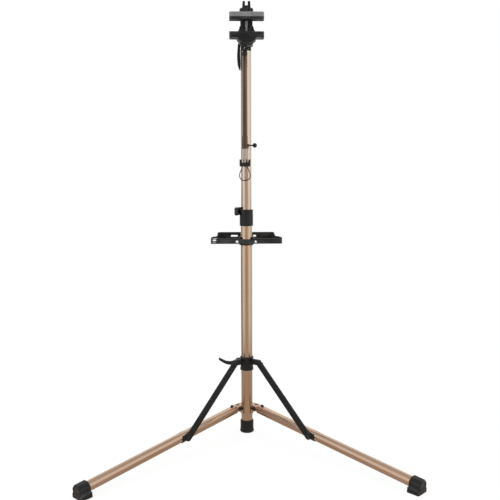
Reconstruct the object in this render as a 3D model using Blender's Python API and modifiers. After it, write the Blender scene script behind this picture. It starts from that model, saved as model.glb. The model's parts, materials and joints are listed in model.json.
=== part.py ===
"""Bicycle repair stand: folding legs, a telescopic mast, a clamp head, a tool tray and a hung support rod.

Metres, +Z up. The origin is the centre of the mast foot's lower face. The legs and the head point to -Y.
"""

import math

import bmesh
import bpy
from mathutils import Matrix, Vector

# Fits
FIT = 0.0003
SLIVER = 0.001

# Mast tubes and mast foot
INNER_TUBE_RADIUS = 0.0175
INNER_TUBE_WALL = 0.0015
INNER_TUBE_BASE = 0.500
INNER_TUBE_TOP = 1.2805
INNER_TUBE_BORE = INNER_TUBE_RADIUS - INNER_TUBE_WALL
OUTER_TUBE_WALL = 0.0012
OUTER_TUBE_RADIUS = INNER_TUBE_RADIUS + FIT + OUTER_TUBE_WALL
OUTER_TUBE_TOP = 0.757
SLEEVE_BORE = OUTER_TUBE_RADIUS + FIT
MAST_FOOT_FLOOR = 0.0037
MAST_FOOT_WALL = 0.0032
MAST_FOOT_HEIGHT = 0.040
MAST_FOOT_FLARE = 0.0012
PLUG_RIM = 0.006
PLUG_DEPTH = 0.030

# Hub bracket
HUB_BASE = 0.066
HUB_TOP = 0.094
HUB_WALL = 0.0032
EAR_THICKNESS = 0.005
EAR_RADIUS = 0.010
HUB_BLOCK_BACK = -0.006
HINGE_PIN_RADIUS = 0.004
HINGE_PIN_HEAD = 0.0065
PIN_HEAD_HEIGHT = 0.004
HUB_BOLT_RADIUS = 0.003
HUB_BOLT_HEAD = 0.006
HUB_BOLT_HEIGHT = 0.080

# Legs, in a plane that stands beside the mast
LEG_SPREAD = math.radians(43.6)
LEG_RADIUS = 0.015
LEG_WALL = 0.0015
HINGE_REACH = 0.030
HINGE_HEIGHT = 0.0845
FOOT_REACH = 0.653
FOOT_AXIS_HEIGHT = 0.0225
FOOT_HALF_LENGTH = 0.0185
FOOT_HALF_WIDTH = 0.0192
FOOT_SOLE_HALF_WIDTH = 0.022
FOOT_SOLE_HEIGHT = 0.0155
FOOT_END_WALL = 0.008
FOOT_CHAMFER = 0.003
TUBE_START = EAR_RADIUS + SLIVER
TONGUE_HALF = 0.007
TONGUE_EYE = 0.009
TONGUE_PLUG_LENGTH = 0.050
LEG_SCREW_PLACE = 0.024
LEG_SCREW_HEAD = 0.006
LEG_SCREW_RADIUS = 0.0021
LEG_SCREW_LENGTH = 0.007
HUB_BLOCK_FRONT = HINGE_REACH - TONGUE_EYE - SLIVER

# Sliding collar with its cam lever, whose bend and tip are counted from its pin
SLIDER_BASE = 0.219
SLIDER_HEIGHT = 0.045
SLIDER_TOP = SLIDER_BASE + SLIDER_HEIGHT
SLIDER_WALL = 0.0024
SLIDER_RIM = 0.001
SLIDER_RIM_HEIGHT = 0.006
CAM_PIN_REACH = 0.031
CAM_PIN_RISE = 0.030
CAM_PIN_HEIGHT = SLIDER_BASE + CAM_PIN_RISE
CAM_RADIUS = 0.0075
CAM_EAR_RADIUS = 0.008
CAM_EAR_THICKNESS = 0.0035
SLIDER_LEVER_WIDTH = 0.011
SLIDER_LEVER_BEND = (-0.029, -0.0185)
SLIDER_LEVER_TIP = (-0.062, 0.007)
SHOE_HALF_HEIGHT = 0.0075

# Struts, their clips on the legs and their lugs on the sliding collar
LUG_OFFSET = -0.0035
LUG_THICKNESS = 0.006
LUG_RADIUS = 0.0095
STRUT_THICKNESS = 0.008
STRUT_HALF_WIDTH = 0.0112
STRUT_FOOT_REACH = 0.277
STRUT_TOP_REACH = 0.062
STRUT_TOP_RISE = 0.033
STRUT_TOP_HEIGHT = SLIDER_BASE + STRUT_TOP_RISE
STRUT_PIN_RADIUS = 0.0035
STRUT_PIN_HEAD = 0.0075
LUG_NOTCH_PLAY = 0.0024
LUG_NOTCH_HALF = STRUT_PIN_RADIUS + LUG_NOTCH_PLAY
LUG_NOTCH_ANGLE = math.radians(54.5)
CLIP_WALL = 0.0022
CLIP_RADIUS = LEG_RADIUS + FIT + CLIP_WALL
CLIP_UPHILL = 0.009
CLIP_DOWNHILL = 0.016
CLIP_LIP = 0.0095
STRUT_OFFSET = LUG_OFFSET + LUG_THICKNESS / 2 + FIT + STRUT_THICKNESS / 2
LEG_OFFSET = STRUT_OFFSET - STRUT_THICKNESS / 2 - FIT - CLIP_RADIUS

# Quick releases of the mast clamp and of the head
SKEWER_RADIUS = 0.003
SKEWER_EYE = 0.0045
SKEWER_EYE_HALF = 0.0035
LEVER_PIN_RADIUS = 0.0018
NUT_RADIUS = 0.007
NUT_HEIGHT = 0.007

# Mast clamp
CLAMP_DEPTH = 0.045
CLAMP_LIP = 0.009
CLAMP_BASE = OUTER_TUBE_TOP - CLAMP_DEPTH
CLAMP_TOP = OUTER_TUBE_TOP + CLAMP_LIP
CLAMP_WALL = 0.0030
CLAMP_SKEWER_REACH = 0.031
CLAMP_SKEWER_RISE = 0.003
CLAMP_SKEWER_HEIGHT = OUTER_TUBE_TOP + CLAMP_SKEWER_RISE
CLAMP_EAR_RADIUS = 0.0105
CLAMP_EAR_HALF_SPAN = 0.013
CLAMP_SLIT = 0.002
CLAMP_CAM_RADIUS = 0.0068
CLAMP_LEVER_WIDTH = 0.026
CLAMP_LEVER_BEND = (-0.036, 0.012)
CLAMP_LEVER_TIP = (-0.033, -0.013)

# Tool tray: a box with a rack at each end of its front, hung below the mast clamp
TRAY_DROP = 0.0585
TRAY_BASE = CLAMP_BASE - TRAY_DROP
TRAY_FRONT_HEIGHT = 0.0178
TRAY_BACK_HEIGHT = 0.0288
TRAY_WALL = 0.0025
TRAY_FLOOR = 0.003
TRAY_FRONT = -0.026
TRAY_BACK = 0.108
TRAY_FRONT_HALF = 0.119
TRAY_BACK_HALF = 0.099
TRAY_RACK_DEPTH = 0.030
TRAY_RACK_EASE = 0.020
TRAY_CORNER = 0.012
TRAY_RING_WALL = 0.005
TRAY_RING_DROP = 0.0055
TRAY_RING_RISE = 0.0215
TRAY_DIP_RISE = 0.0145
TRAY_DIP_HALF = 0.019
TOOL_SLOT_PLACE = 0.0315
TOOL_SLOT_WIDTH = 0.008
TOOL_SLOT_FRONT = -0.018
TOOL_SLOT_BACK = 0.085
TOOL_WINDOW_RISE = 0.004
TOOL_WINDOW_HEIGHT = 0.007
TOOL_HOLE_RADIUS = 0.006
TOOL_HOLE_PLACES = ((0.060, 0.088), (0.080, 0.084))
RACK_SLOT_RISES = (0.0030, 0.0103)
RACK_SLOT_HEIGHT = 0.0042
RACK_SLOT_INNER = 0.101
RACK_SLOT_OUTER = 0.113
RACK_WINDOW_RISE = 0.0028
RACK_WINDOW_HEIGHT = 0.013
BACK_WINDOW_SPANS = ((-0.052, -0.029), (0.026, 0.036))
BACK_WINDOW_RISE = 0.0125
BACK_WINDOW_HEIGHT = 0.006
TRAY_SCREW_RISE = 0.0125
TRAY_SCREW_HEIGHT = TRAY_BASE + TRAY_SCREW_RISE
TRAY_SCREW_RADIUS = 0.003
TRAY_SCREW_KNOB = 0.008
TRAY_SCREW_REACH = 0.042

# Head yoke plugged into the mast, arm, and the tilt lever, whose bend and tip are counted from its pin
HEAD_RISE = 0.0205
HEAD_AXIS_HEIGHT = INNER_TUBE_TOP + HEAD_RISE
YOKE_PLUG_DEPTH = 0.030
YOKE_CROWN = 0.006
YOKE_EAR_RADIUS = 0.0155
YOKE_EAR_GAP_HALF = 0.0093
YOKE_EAR_THICKNESS = 0.0072
ARM_EYE_RADIUS = 0.0112
ARM_RADIUS = 0.012
FLANGE_RADIUS = 0.019
FLANGE_THICKNESS = 0.006
HEAD_CAM_RADIUS = 0.0048
HEAD_LEVER_WIDTH = 0.014
HEAD_LEVER_BEND = (-0.0044, -0.039)
HEAD_LEVER_TIP = (0.0012, -0.0787)
HEAD_LEVER_TIP_HALF = 0.0018
HEAD_LEVER_BELLY = 0.0022

# Clamp head, whose screw stands behind the jaws
BODY_BACK = -0.064
BODY_FRONT = -0.100
BODY_HALF_WIDTH = 0.030
BODY_DROP = 0.019
BODY_RISE = 0.037
BODY_SHOULDER_RISE = 0.019
BODY_CORNER = 0.010
BODY_NECK_WALL = 0.0024
BODY_BASE = HEAD_AXIS_HEIGHT - BODY_DROP
BODY_SHOULDER = HEAD_AXIS_HEIGHT + BODY_SHOULDER_RISE
BODY_TOP = HEAD_AXIS_HEIGHT + BODY_RISE
SPINDLE_RADIUS = 0.009
SPINDLE_LENGTH = 0.0105
SCREW_Y = -0.086
SCREW_RADIUS = 0.0068
SCREW_BASE_RISE = 0.008
SCREW_BASE = HEAD_AXIS_HEIGHT + SCREW_BASE_RISE
SCREW_IN_KNOB = 0.012
SOCKET_DROP = 0.0135
SOCKET_FLOOR = HEAD_AXIS_HEIGHT - SOCKET_DROP
GUIDE_HALF_WIDTH = 0.019
GUIDE_SLOT_HALF = 0.0086
GUIDE_HALF_DEPTH = 0.0095
GUIDE_WEB = 0.0023
JAW_FRONT = -0.130
JAW_HALF_WIDTH = 0.0535
JAW_CORNER = 0.006
LOWER_JAW_DROP = 0.003
LOWER_JAW_THICKNESS = 0.008
LOWER_PAD_THICKNESS = 0.0095
LOWER_JAW_BASE = HEAD_AXIS_HEIGHT - LOWER_JAW_DROP
LOWER_JAW_TOP = LOWER_JAW_BASE + LOWER_JAW_THICKNESS
LOWER_PAD_TOP = LOWER_JAW_TOP + FIT + LOWER_PAD_THICKNESS
NOSE_BACK = -0.124
NOSE_FRONT = -0.141
NOSE_STEP = 0.002
NOSE_DROP = 0.022
NOSE_TOP = LOWER_PAD_TOP - NOSE_STEP
JAW_OPENING = 0.0362
UPPER_PAD_THICKNESS = 0.0077
UPPER_JAW_THICKNESS = 0.0145
UPPER_PAD_BASE = LOWER_PAD_TOP + JAW_OPENING
UPPER_JAW_BASE = UPPER_PAD_BASE + UPPER_PAD_THICKNESS + FIT
UPPER_JAW_TOP = UPPER_JAW_BASE + UPPER_JAW_THICKNESS
UPPER_JAW_BACK = -0.071
UPPER_JAW_NECK_HALF = 0.024
PAD_GROOVE_DEPTH = 0.0035
PAD_GROOVE_HALF = 0.009
KNOB_RADIUS = 0.0205
KNOB_LOBES = 12
KNOB_LOBE_DEPTH = 0.0010
KNOB_HEIGHT = 0.0178
KNOB_EAR_INNER = 0.0042
KNOB_EAR_OUTER = 0.0135
KNOB_EAR_TIP = (0.0042, 0.0118)
KNOB_EAR_DEPTH = 0.016
KNOB_EAR_HEIGHT = 0.022
HANDLE_PIN_HEIGHT = 0.0063
HANDLE_EYE = 0.0048
HANDLE_REACH = 0.034

# Support rod hung on the yoke's hook
ROD_X = -0.005
ROD_Y = -0.0375
ROD_RADIUS = 0.0074
ROD_WALL = 0.001
ROD_INNER_RADIUS = ROD_RADIUS - ROD_WALL - FIT
ROD_BASE = 0.969
ROD_COLLAR_LIP = 0.004
ROD_COLLAR_HEIGHT = 0.040
ROD_COLLAR_WALL = 0.0014
ROD_COLLAR_BASE = ROD_BASE - ROD_COLLAR_LIP
ROD_COLLAR_TOP = ROD_COLLAR_BASE + ROD_COLLAR_HEIGHT
HOOK_RADIUS = 0.002
HOOK_LIP = 0.0045
HOOK_HEIGHT = INNER_TUBE_TOP + FIT + YOKE_CROWN / 2
ROD_EYE_RADIUS = 0.0062
ROD_EYE_HOLE = 0.0042
ROD_EYE_THICKNESS = 0.006
ROD_EYE_HEIGHT = HOOK_HEIGHT - ROD_EYE_HOLE + FIT + HOOK_RADIUS
ROD_CAP_NECK = 0.002
ROD_CAP_ROOF = 0.005
ROD_CAP_SOCKET = 0.008
ROD_CAP_WALL = 0.0013
ROD_CAP_TOP = ROD_EYE_HEIGHT - ROD_EYE_RADIUS - ROD_CAP_NECK
ROD_TOP = ROD_CAP_TOP - ROD_CAP_ROOF
ROD_CAP_BASE = ROD_TOP - ROD_CAP_SOCKET
THUMBSCREW_RISE = 0.007
THUMBSCREW_HEIGHT = ROD_BASE + THUMBSCREW_RISE
THUMBSCREW_RADIUS = 0.0022
THUMBSCREW_BALL = 0.0075
THUMBSCREW_BALL_X = 0.027
THUMB_BOSS_RADIUS = 0.005
THUMB_BOSS_REACH = 0.009
CRADLE_DROP = 0.061
CRADLE_HEIGHT = 0.012
CRADLE_EAR_HEIGHT = 0.011
CRADLE_BASE = ROD_BASE - CRADLE_DROP
CRADLE_TOP = CRADLE_BASE + CRADLE_HEIGHT
CRADLE_EAR_TOP = CRADLE_TOP + CRADLE_EAR_HEIGHT
CRADLE_HALF_WIDTH = 0.0175
CRADLE_THICKNESS = 0.016
CRADLE_EAR_PLACE = 0.0125
CRADLE_EAR_WIDTH = 0.005
ROD_INNER_SEAT = 0.005
ROD_INNER_OVERLAP = 0.147
ROD_INNER_BASE = CRADLE_BASE + ROD_INNER_SEAT
ROD_INNER_TOP = ROD_BASE + ROD_INNER_OVERLAP
CORD_RADIUS = 0.0015
CORD_TOP = CRADLE_BASE - FIT
# Route of the hanging cord loop: x from the rod's axis, and height
CORD_ROUTE = (
    (-0.0085, CORD_TOP),
    (-0.0098, CORD_TOP - 0.0051),
    (-0.0122, CORD_TOP - 0.0117),
    (-0.0155, CORD_TOP - 0.0187),
    (-0.0176, CORD_TOP - 0.0277),
    (-0.0155, CORD_TOP - 0.0377),
    (-0.0080, CORD_TOP - 0.0440),
    (0.0000, CORD_TOP - 0.0455),
    (0.0080, CORD_TOP - 0.0440),
    (0.0155, CORD_TOP - 0.0377),
    (0.0176, CORD_TOP - 0.0277),
    (0.0155, CORD_TOP - 0.0187),
    (0.0122, CORD_TOP - 0.0117),
    (0.0098, CORD_TOP - 0.0051),
    (0.0085, CORD_TOP),
)
CORD_STEPS = 2

# Directions
RIGHT = Vector((1, 0, 0))
LEFT = Vector((-1, 0, 0))
BACK = Vector((0, 1, 0))
FRONT = Vector((0, -1, 0))
UP = Vector((0, 0, 1))

for old in list(bpy.data.objects):
    bpy.data.objects.remove(old)


def new_collection(name):
    made = bpy.data.collections.new(name)
    bpy.context.scene.collection.children.link(made)
    return made


PARTS = new_collection("bicycle_repair_stand")
TOOLS = new_collection("cutters")


def new_material(name, colour, roughness, metallic):
    made = bpy.data.materials.new(name)
    made.use_nodes = True
    shader = made.node_tree.nodes["Principled BSDF"]
    shader.inputs["Base Color"].default_value = (*colour, 1.0)
    shader.inputs["Roughness"].default_value = roughness
    shader.inputs["Metallic"].default_value = metallic
    return made


GOLD = new_material("champagne_gold_tube", (0.55, 0.38, 0.24), 0.28, 1.0)
BRONZE = new_material("dark_bronze_tube", (0.10, 0.07, 0.05), 0.35, 1.0)
SILVER = new_material("silver_rod", (0.60, 0.56, 0.52), 0.30, 1.0)
STEEL = new_material("bright_steel", (0.55, 0.55, 0.55), 0.30, 1.0)
PAINT = new_material("black_painted_steel", (0.02, 0.02, 0.02), 0.40, 0.0)
PLASTIC = new_material("black_plastic", (0.025, 0.025, 0.026), 0.50, 0.0)
RUBBER = new_material("black_rubber", (0.018, 0.018, 0.018), 0.80, 0.0)
GREY = new_material("grey_casting", (0.24, 0.24, 0.24), 0.45, 0.0)


# Shape builders


def add_part(name, mesh, finish):
    made = bpy.data.objects.new(name, mesh)
    PARTS.objects.link(made)
    if finish:
        mesh.materials.append(finish)
    return made


def turned(name, profile, finish=None, sides=20):
    """Body turned about local Z. The profile runs up the inside and down the outside, as (radius, height)."""
    mesh = bpy.data.meshes.new(name)
    points = [(radius, 0.0, height) for radius, height in profile]
    edges = [(i, i + 1) for i in range(len(points) - 1)]
    if profile[0][0] > 0:
        edges.append((len(points) - 1, 0))
    mesh.from_pydata(points, edges, [])
    made = add_part(name, mesh, finish)
    screw = made.modifiers.new("turn", "SCREW")
    screw.axis = "Z"
    screw.steps = sides
    screw.render_steps = sides
    screw.use_merge_vertices = True
    screw.merge_threshold = 0.00001
    return made


def tube(name, inner, outer, low, high, finish=None, sides=20):
    return turned(name, [(inner, low), (inner, high), (outer, high), (outer, low)], finish, sides)


def cylinder(name, radius, low, high, finish=None, sides=20):
    """Solid cylinder along local Z."""
    mesh = bpy.data.meshes.new(name)
    form = bmesh.new()
    bmesh.ops.create_cone(
        form,
        cap_ends=True,
        segments=sides,
        radius1=radius,
        radius2=radius,
        depth=high - low,
        matrix=Matrix.Translation((0, 0, (low + high) / 2)),
    )
    form.to_mesh(mesh)
    form.free()
    return add_part(name, mesh, finish)


def box(name, low, high, finish=None, bevel=0.0):
    """Box between two opposite corners, with its edges rounded by the bevel."""
    low = Vector(low)
    high = Vector(high)
    mesh = bpy.data.meshes.new(name)
    form = bmesh.new()
    size = high - low
    bmesh.ops.create_cube(form, matrix=Matrix.Translation((low + high) / 2) @ Matrix.Diagonal((*size, 1.0)))
    form.to_mesh(mesh)
    form.free()
    made = add_part(name, mesh, finish)
    if bevel:
        round_edges(made, bevel)
    return made


def round_edges(part, width, segments=1):
    edge = part.modifiers.new("round", "BEVEL")
    edge.width = width
    edge.segments = segments
    edge.limit_method = "ANGLE"
    edge.angle_limit = math.radians(40)


def mesh_from_curve(curve_object, finish):
    """The curve's evaluated mesh with its caps welded, as a new part under the curve's name."""
    name = curve_object.name
    bpy.context.view_layer.update()
    graph = bpy.context.evaluated_depsgraph_get()
    mesh = bpy.data.meshes.new_from_object(curve_object.evaluated_get(graph))
    curve_object.name = name + "_curve"
    form = bmesh.new()
    form.from_mesh(mesh)
    bmesh.ops.remove_doubles(form, verts=form.verts, dist=0.00001)
    bmesh.ops.dissolve_limit(form, angle_limit=math.radians(0.1), verts=form.verts, edges=form.edges)
    bmesh.ops.recalc_face_normals(form, faces=form.faces)
    form.to_mesh(mesh)
    form.free()
    made = add_part(name, mesh, None)
    made.matrix_world = curve_object.matrix_world
    bpy.data.objects.remove(curve_object)
    mesh.materials.clear()
    if finish:
        mesh.materials.append(finish)
    return made


def plate(name, outline, thickness, finish=None, bevel=0.0):
    """Flat outline in local XY, centred on local Z."""
    curve = bpy.data.curves.new(name, "CURVE")
    curve.dimensions = "2D"
    curve.fill_mode = "BOTH"
    curve.extrude = thickness / 2
    spline = curve.splines.new("POLY")
    spline.points.add(len(outline) - 1)
    for point, place in zip(spline.points, outline):
        point.co = (place[0], place[1], 0.0, 1.0)
    spline.use_cyclic_u = True
    holder = bpy.data.objects.new(name, curve)
    PARTS.objects.link(holder)
    made = mesh_from_curve(holder, finish)
    if bevel:
        round_edges(made, bevel)
    return made


def wire(name, points, radius, finish, resolution=2):
    """Round wire through the points."""
    curve = bpy.data.curves.new(name, "CURVE")
    curve.dimensions = "3D"
    curve.bevel_depth = radius
    curve.bevel_resolution = resolution
    curve.use_fill_caps = True
    spline = curve.splines.new("POLY")
    spline.points.add(len(points) - 1)
    for point, place in zip(spline.points, points):
        point.co = (*place, 1.0)
    holder = bpy.data.objects.new(name, curve)
    PARTS.objects.link(holder)
    return mesh_from_curve(holder, finish)


def bolt(name, head_radius, head_height, shank_radius, shank_length, finish, sides=14):
    """Dome-headed bolt along local Z, with the underside of its head at the origin and its shank below."""
    profile = [
        (0.0, head_height),
        (head_radius * 0.55, head_height * 0.9),
        (head_radius * 0.9, head_height * 0.5),
        (head_radius, 0.0),
        (shank_radius, 0.0),
        (shank_radius, -shank_length),
        (0.0, -shank_length),
    ]
    return turned(name, profile, finish, sides)


def rivet(name, half_span, radius, head_radius, head_height, finish, sides=14):
    """Pin along local Z with a low head beyond each end of its span."""
    end = half_span + head_height
    profile = [
        (0.0, end),
        (head_radius * 0.8, end),
        (head_radius, half_span + head_height * 0.4),
        (head_radius, half_span),
        (radius, half_span),
        (radius, -half_span),
        (head_radius, -half_span),
        (head_radius, -half_span - head_height * 0.4),
        (head_radius * 0.8, -end),
        (0.0, -end),
    ]
    return turned(name, profile, finish, sides)


# Outlines


def arc(centre, radius, first, last, steps):
    """Points of an arc, both ends included, with angles in radians."""
    angles = [first + (last - first) * i / steps for i in range(steps + 1)]
    return [(centre[0] + radius * math.cos(a), centre[1] + radius * math.sin(a)) for a in angles]


def capsule(start, end, radius, steps=8):
    """Bar with round ends."""
    heading = math.atan2(end[1] - start[1], end[0] - start[0])
    quarter = math.pi / 2
    far = arc(end, radius, heading - quarter, heading + quarter, steps)
    near = arc(start, radius, heading + quarter, heading + 3 * quarter, steps)
    return far + near


def rounded(corners, radius, steps=4):
    """Polygon whose corners are eased over the radius."""
    points = []
    for i, corner in enumerate(corners):
        here = Vector(corner)
        start = here + (Vector(corners[i - 1]) - here).normalized() * radius
        end = here + (Vector(corners[(i + 1) % len(corners)]) - here).normalized() * radius
        for k in range(steps + 1):
            t = k / steps
            points.append(tuple(start * (1 - t) ** 2 + here * 2 * t * (1 - t) + end * t * t))
    return points


def blade(root, bend, tip, root_half, tip_half, belly=0.0, steps=8):
    """Lever outline: a bar that tapers along a bent centre line from a round root to a round tip.

    The belly is added to the half width two thirds of the way along.
    """
    root = Vector(root)
    bend = Vector(bend)
    tip = Vector(tip)
    left = []
    right = []
    for k in range(steps + 1):
        t = k / steps
        middle = root * (1 - t) ** 2 + bend * 2 * t * (1 - t) + tip * t * t
        along = (bend - root) * (1 - t) + (tip - bend) * t
        half = root_half + (tip_half - root_half) * t + belly * 6.75 * t * t * (1 - t)
        side = Vector((-along.y, along.x)).normalized() * half
        left.append(tuple(middle + side))
        right.append(tuple(middle - side))
    heading = math.atan2(tip.y - bend.y, tip.x - bend.x)
    back = math.atan2(bend.y - root.y, bend.x - root.x)
    quarter = math.pi / 2
    tip_arc = arc(tip, tip_half, heading - quarter, heading + quarter, 6)
    root_arc = arc(root, root_half, back + quarter, back + 3 * quarter, 8)
    return right[1:-1] + tip_arc + left[-2:0:-1] + root_arc


# Placing, joining and cutting


def axes(origin, x_axis, y_axis):
    """Frame with the given X and Y directions."""
    x_axis = Vector(x_axis).normalized()
    y_axis = Vector(y_axis).normalized()
    placed = Matrix((x_axis, y_axis, x_axis.cross(y_axis))).transposed().to_4x4()
    placed.translation = origin
    return placed


def aim(origin, direction):
    """Frame whose local Z points along the direction."""
    turn = UP.rotation_difference(Vector(direction)).to_matrix().to_4x4()
    return Matrix.Translation(origin) @ turn


def put(part, placed, parent=None):
    """Sets the part in its parent's frame, or in the world."""
    part.parent = parent
    part.matrix_basis = placed
    return part


def pivot(name, placed, parent=None):
    """Empty on a joint's axis."""
    made = bpy.data.objects.new(name, None)
    made.empty_display_size = 0.02
    PARTS.objects.link(made)
    return put(made, placed, parent)


def combine(part, tool, operation):
    PARTS.objects.unlink(tool)
    TOOLS.objects.link(tool)
    tool.hide_render = True
    tool.display_type = "WIRE"
    step = part.modifiers.new(operation.lower(), "BOOLEAN")
    step.operation = operation
    step.object = tool
    return part


def join(part, tool):
    return combine(part, tool, "UNION")


def cut(part, tool):
    return combine(part, tool, "DIFFERENCE")


def drill(part, radius, start, end, parent=None, sides=16):
    """Round hole between two points of the parent's frame."""
    start = Vector(start)
    end = Vector(end)
    tool = cylinder(part.name + "_hole", radius, 0.0, (end - start).length, None, sides)
    put(tool, aim(start, end - start), parent)
    return cut(part, tool)


# Frames that lie across the mast: the outline's X and Y in world directions
FRONT_VIEW = axes((0, 0, 0), RIGHT, UP)
SIDE_VIEW = axes((0, 0, 0), BACK, UP)


def facing_front(y):
    """Frame of an outline drawn in X and height, at a depth."""
    return Matrix.Translation((0, y, 0)) @ FRONT_VIEW


def facing_side(x):
    """Frame of an outline drawn in Y and height, at a place across."""
    return Matrix.Translation((x, 0, 0)) @ SIDE_VIEW


def facing_up(z):
    return Matrix.Translation((0, 0, z))


# Mast


def drill_back(part, radius):
    """Hole for the hub bolt through the rear wall of a tube or ring."""
    drill(part, HUB_BOLT_RADIUS + FIT, (0, 0, HUB_BOLT_HEIGHT), (0, radius + SLIVER, HUB_BOLT_HEIGHT))


def build_mast_tubes(upper):
    base = MAST_FOOT_FLOOR + FIT
    outer_bore = INNER_TUBE_RADIUS + FIT
    outer = tube("mast_outer_tube", outer_bore, OUTER_TUBE_RADIUS, base, OUTER_TUBE_TOP, GOLD, 36)
    drill_back(outer, OUTER_TUBE_RADIUS)

    base = INNER_TUBE_BASE + FIT
    inner = tube("mast_inner_tube", INNER_TUBE_BORE, INNER_TUBE_RADIUS, base, INNER_TUBE_TOP, GOLD, 36)
    put(inner, Matrix(), upper)

    stem = INNER_TUBE_BORE - FIT
    rim_base = INNER_TUBE_BASE - PLUG_RIM
    profile = [
        (0.0, INNER_TUBE_BASE + PLUG_DEPTH),
        (stem, INNER_TUBE_BASE + PLUG_DEPTH),
        (stem, INNER_TUBE_BASE),
        (INNER_TUBE_RADIUS, INNER_TUBE_BASE),
        (INNER_TUBE_RADIUS, rim_base + SLIVER),
        (INNER_TUBE_RADIUS - SLIVER, rim_base),
        (0.0, rim_base),
    ]
    put(turned("mast_inner_plug", profile, PLASTIC), Matrix(), upper)


def build_mast_foot():
    outer = SLEEVE_BORE + MAST_FOOT_WALL
    flare = outer + MAST_FOOT_FLARE
    profile = [
        (0.0, MAST_FOOT_FLOOR),
        (SLEEVE_BORE, MAST_FOOT_FLOOR),
        (SLEEVE_BORE, MAST_FOOT_HEIGHT),
        (outer - SLIVER, MAST_FOOT_HEIGHT),
        (outer, MAST_FOOT_HEIGHT - SLIVER),
        (outer, 3 * MAST_FOOT_FLOOR),
        (flare, 2 * MAST_FOOT_FLOOR),
        (flare, SLIVER),
        (flare - SLIVER, 0.0),
        (0.0, 0.0),
    ]
    turned("mast_foot", profile, RUBBER, 28)


# Leg planes


def leg_plane(side):
    """Frame of one leg's upright plane through the mast axis: X outward along the ground, Y up."""
    outward = Vector((side * math.sin(LEG_SPREAD), -math.cos(LEG_SPREAD), 0))
    return axes((0, 0, 0), outward, UP)


def in_plane(side, reach, height, offset):
    """Place in a leg plane: the offset counts towards the other leg."""
    return Matrix.Translation((reach, height, side * offset))


LEG_SLOPE = math.atan2(FOOT_AXIS_HEIGHT - HINGE_HEIGHT, FOOT_REACH - HINGE_REACH)
LEG_TO_FOOT = math.hypot(FOOT_REACH - HINGE_REACH, FOOT_AXIS_HEIGHT - HINGE_HEIGHT)
LEG_TO_STRUT = (STRUT_FOOT_REACH - HINGE_REACH) / math.cos(LEG_SLOPE)
STRUT_FOOT_HEIGHT = HINGE_HEIGHT + LEG_TO_STRUT * math.sin(LEG_SLOPE)
EAR_INNER = TONGUE_HALF + FIT
EAR_OUTER = EAR_INNER + EAR_THICKNESS


def build_hub():
    outer = SLEEVE_BORE + HUB_WALL
    hub = cylinder("leg_hub", outer, HUB_BASE, HUB_TOP, GOLD, 28)
    for side in (-1, 1):
        plane = leg_plane(side)
        half = EAR_OUTER - SLIVER
        block = box(
            "hub_block",
            (HUB_BLOCK_BACK, HINGE_HEIGHT - EAR_RADIUS + SLIVER, side * LEG_OFFSET - half),
            (HUB_BLOCK_FRONT, HUB_TOP - SLIVER, side * LEG_OFFSET + half),
        )
        join(hub, put(block, plane))
        for offset in (LEG_OFFSET - EAR_OUTER, LEG_OFFSET + EAR_INNER):
            start = (HUB_BLOCK_FRONT - EAR_RADIUS, HINGE_HEIGHT)
            ear = plate("hub_ear", capsule(start, (HINGE_REACH, HINGE_HEIGHT), EAR_RADIUS), EAR_THICKNESS)
            join(hub, put(ear, plane @ in_plane(side, 0, 0, offset + EAR_THICKNESS / 2)))
        hole = cylinder("hub_hinge_hole", HINGE_PIN_RADIUS + FIT, -2 * EAR_OUTER, 2 * EAR_OUTER)
        cut(hub, put(hole, plane @ in_plane(side, HINGE_REACH, HINGE_HEIGHT, LEG_OFFSET)))
    cut(hub, cylinder("hub_bore", SLEEVE_BORE, HUB_BASE - SLIVER, HUB_TOP + SLIVER, None, 28))
    front_half = OUTER_TUBE_RADIUS * math.sin(LEG_SPREAD)
    opening = box(
        "hub_opening",
        (-front_half, -outer - SLIVER, HUB_BASE - SLIVER),
        (front_half, 0, HUB_TOP + SLIVER),
    )
    cut(hub, opening)

    drill_back(hub, outer)
    shank = outer + FIT - INNER_TUBE_RADIUS / 2
    fixing = bolt("hub_bolt", HUB_BOLT_HEAD, PIN_HEAD_HEIGHT, HUB_BOLT_RADIUS, shank, STEEL)
    put(fixing, aim((0, outer + FIT, HUB_BOLT_HEIGHT), BACK))


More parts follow.
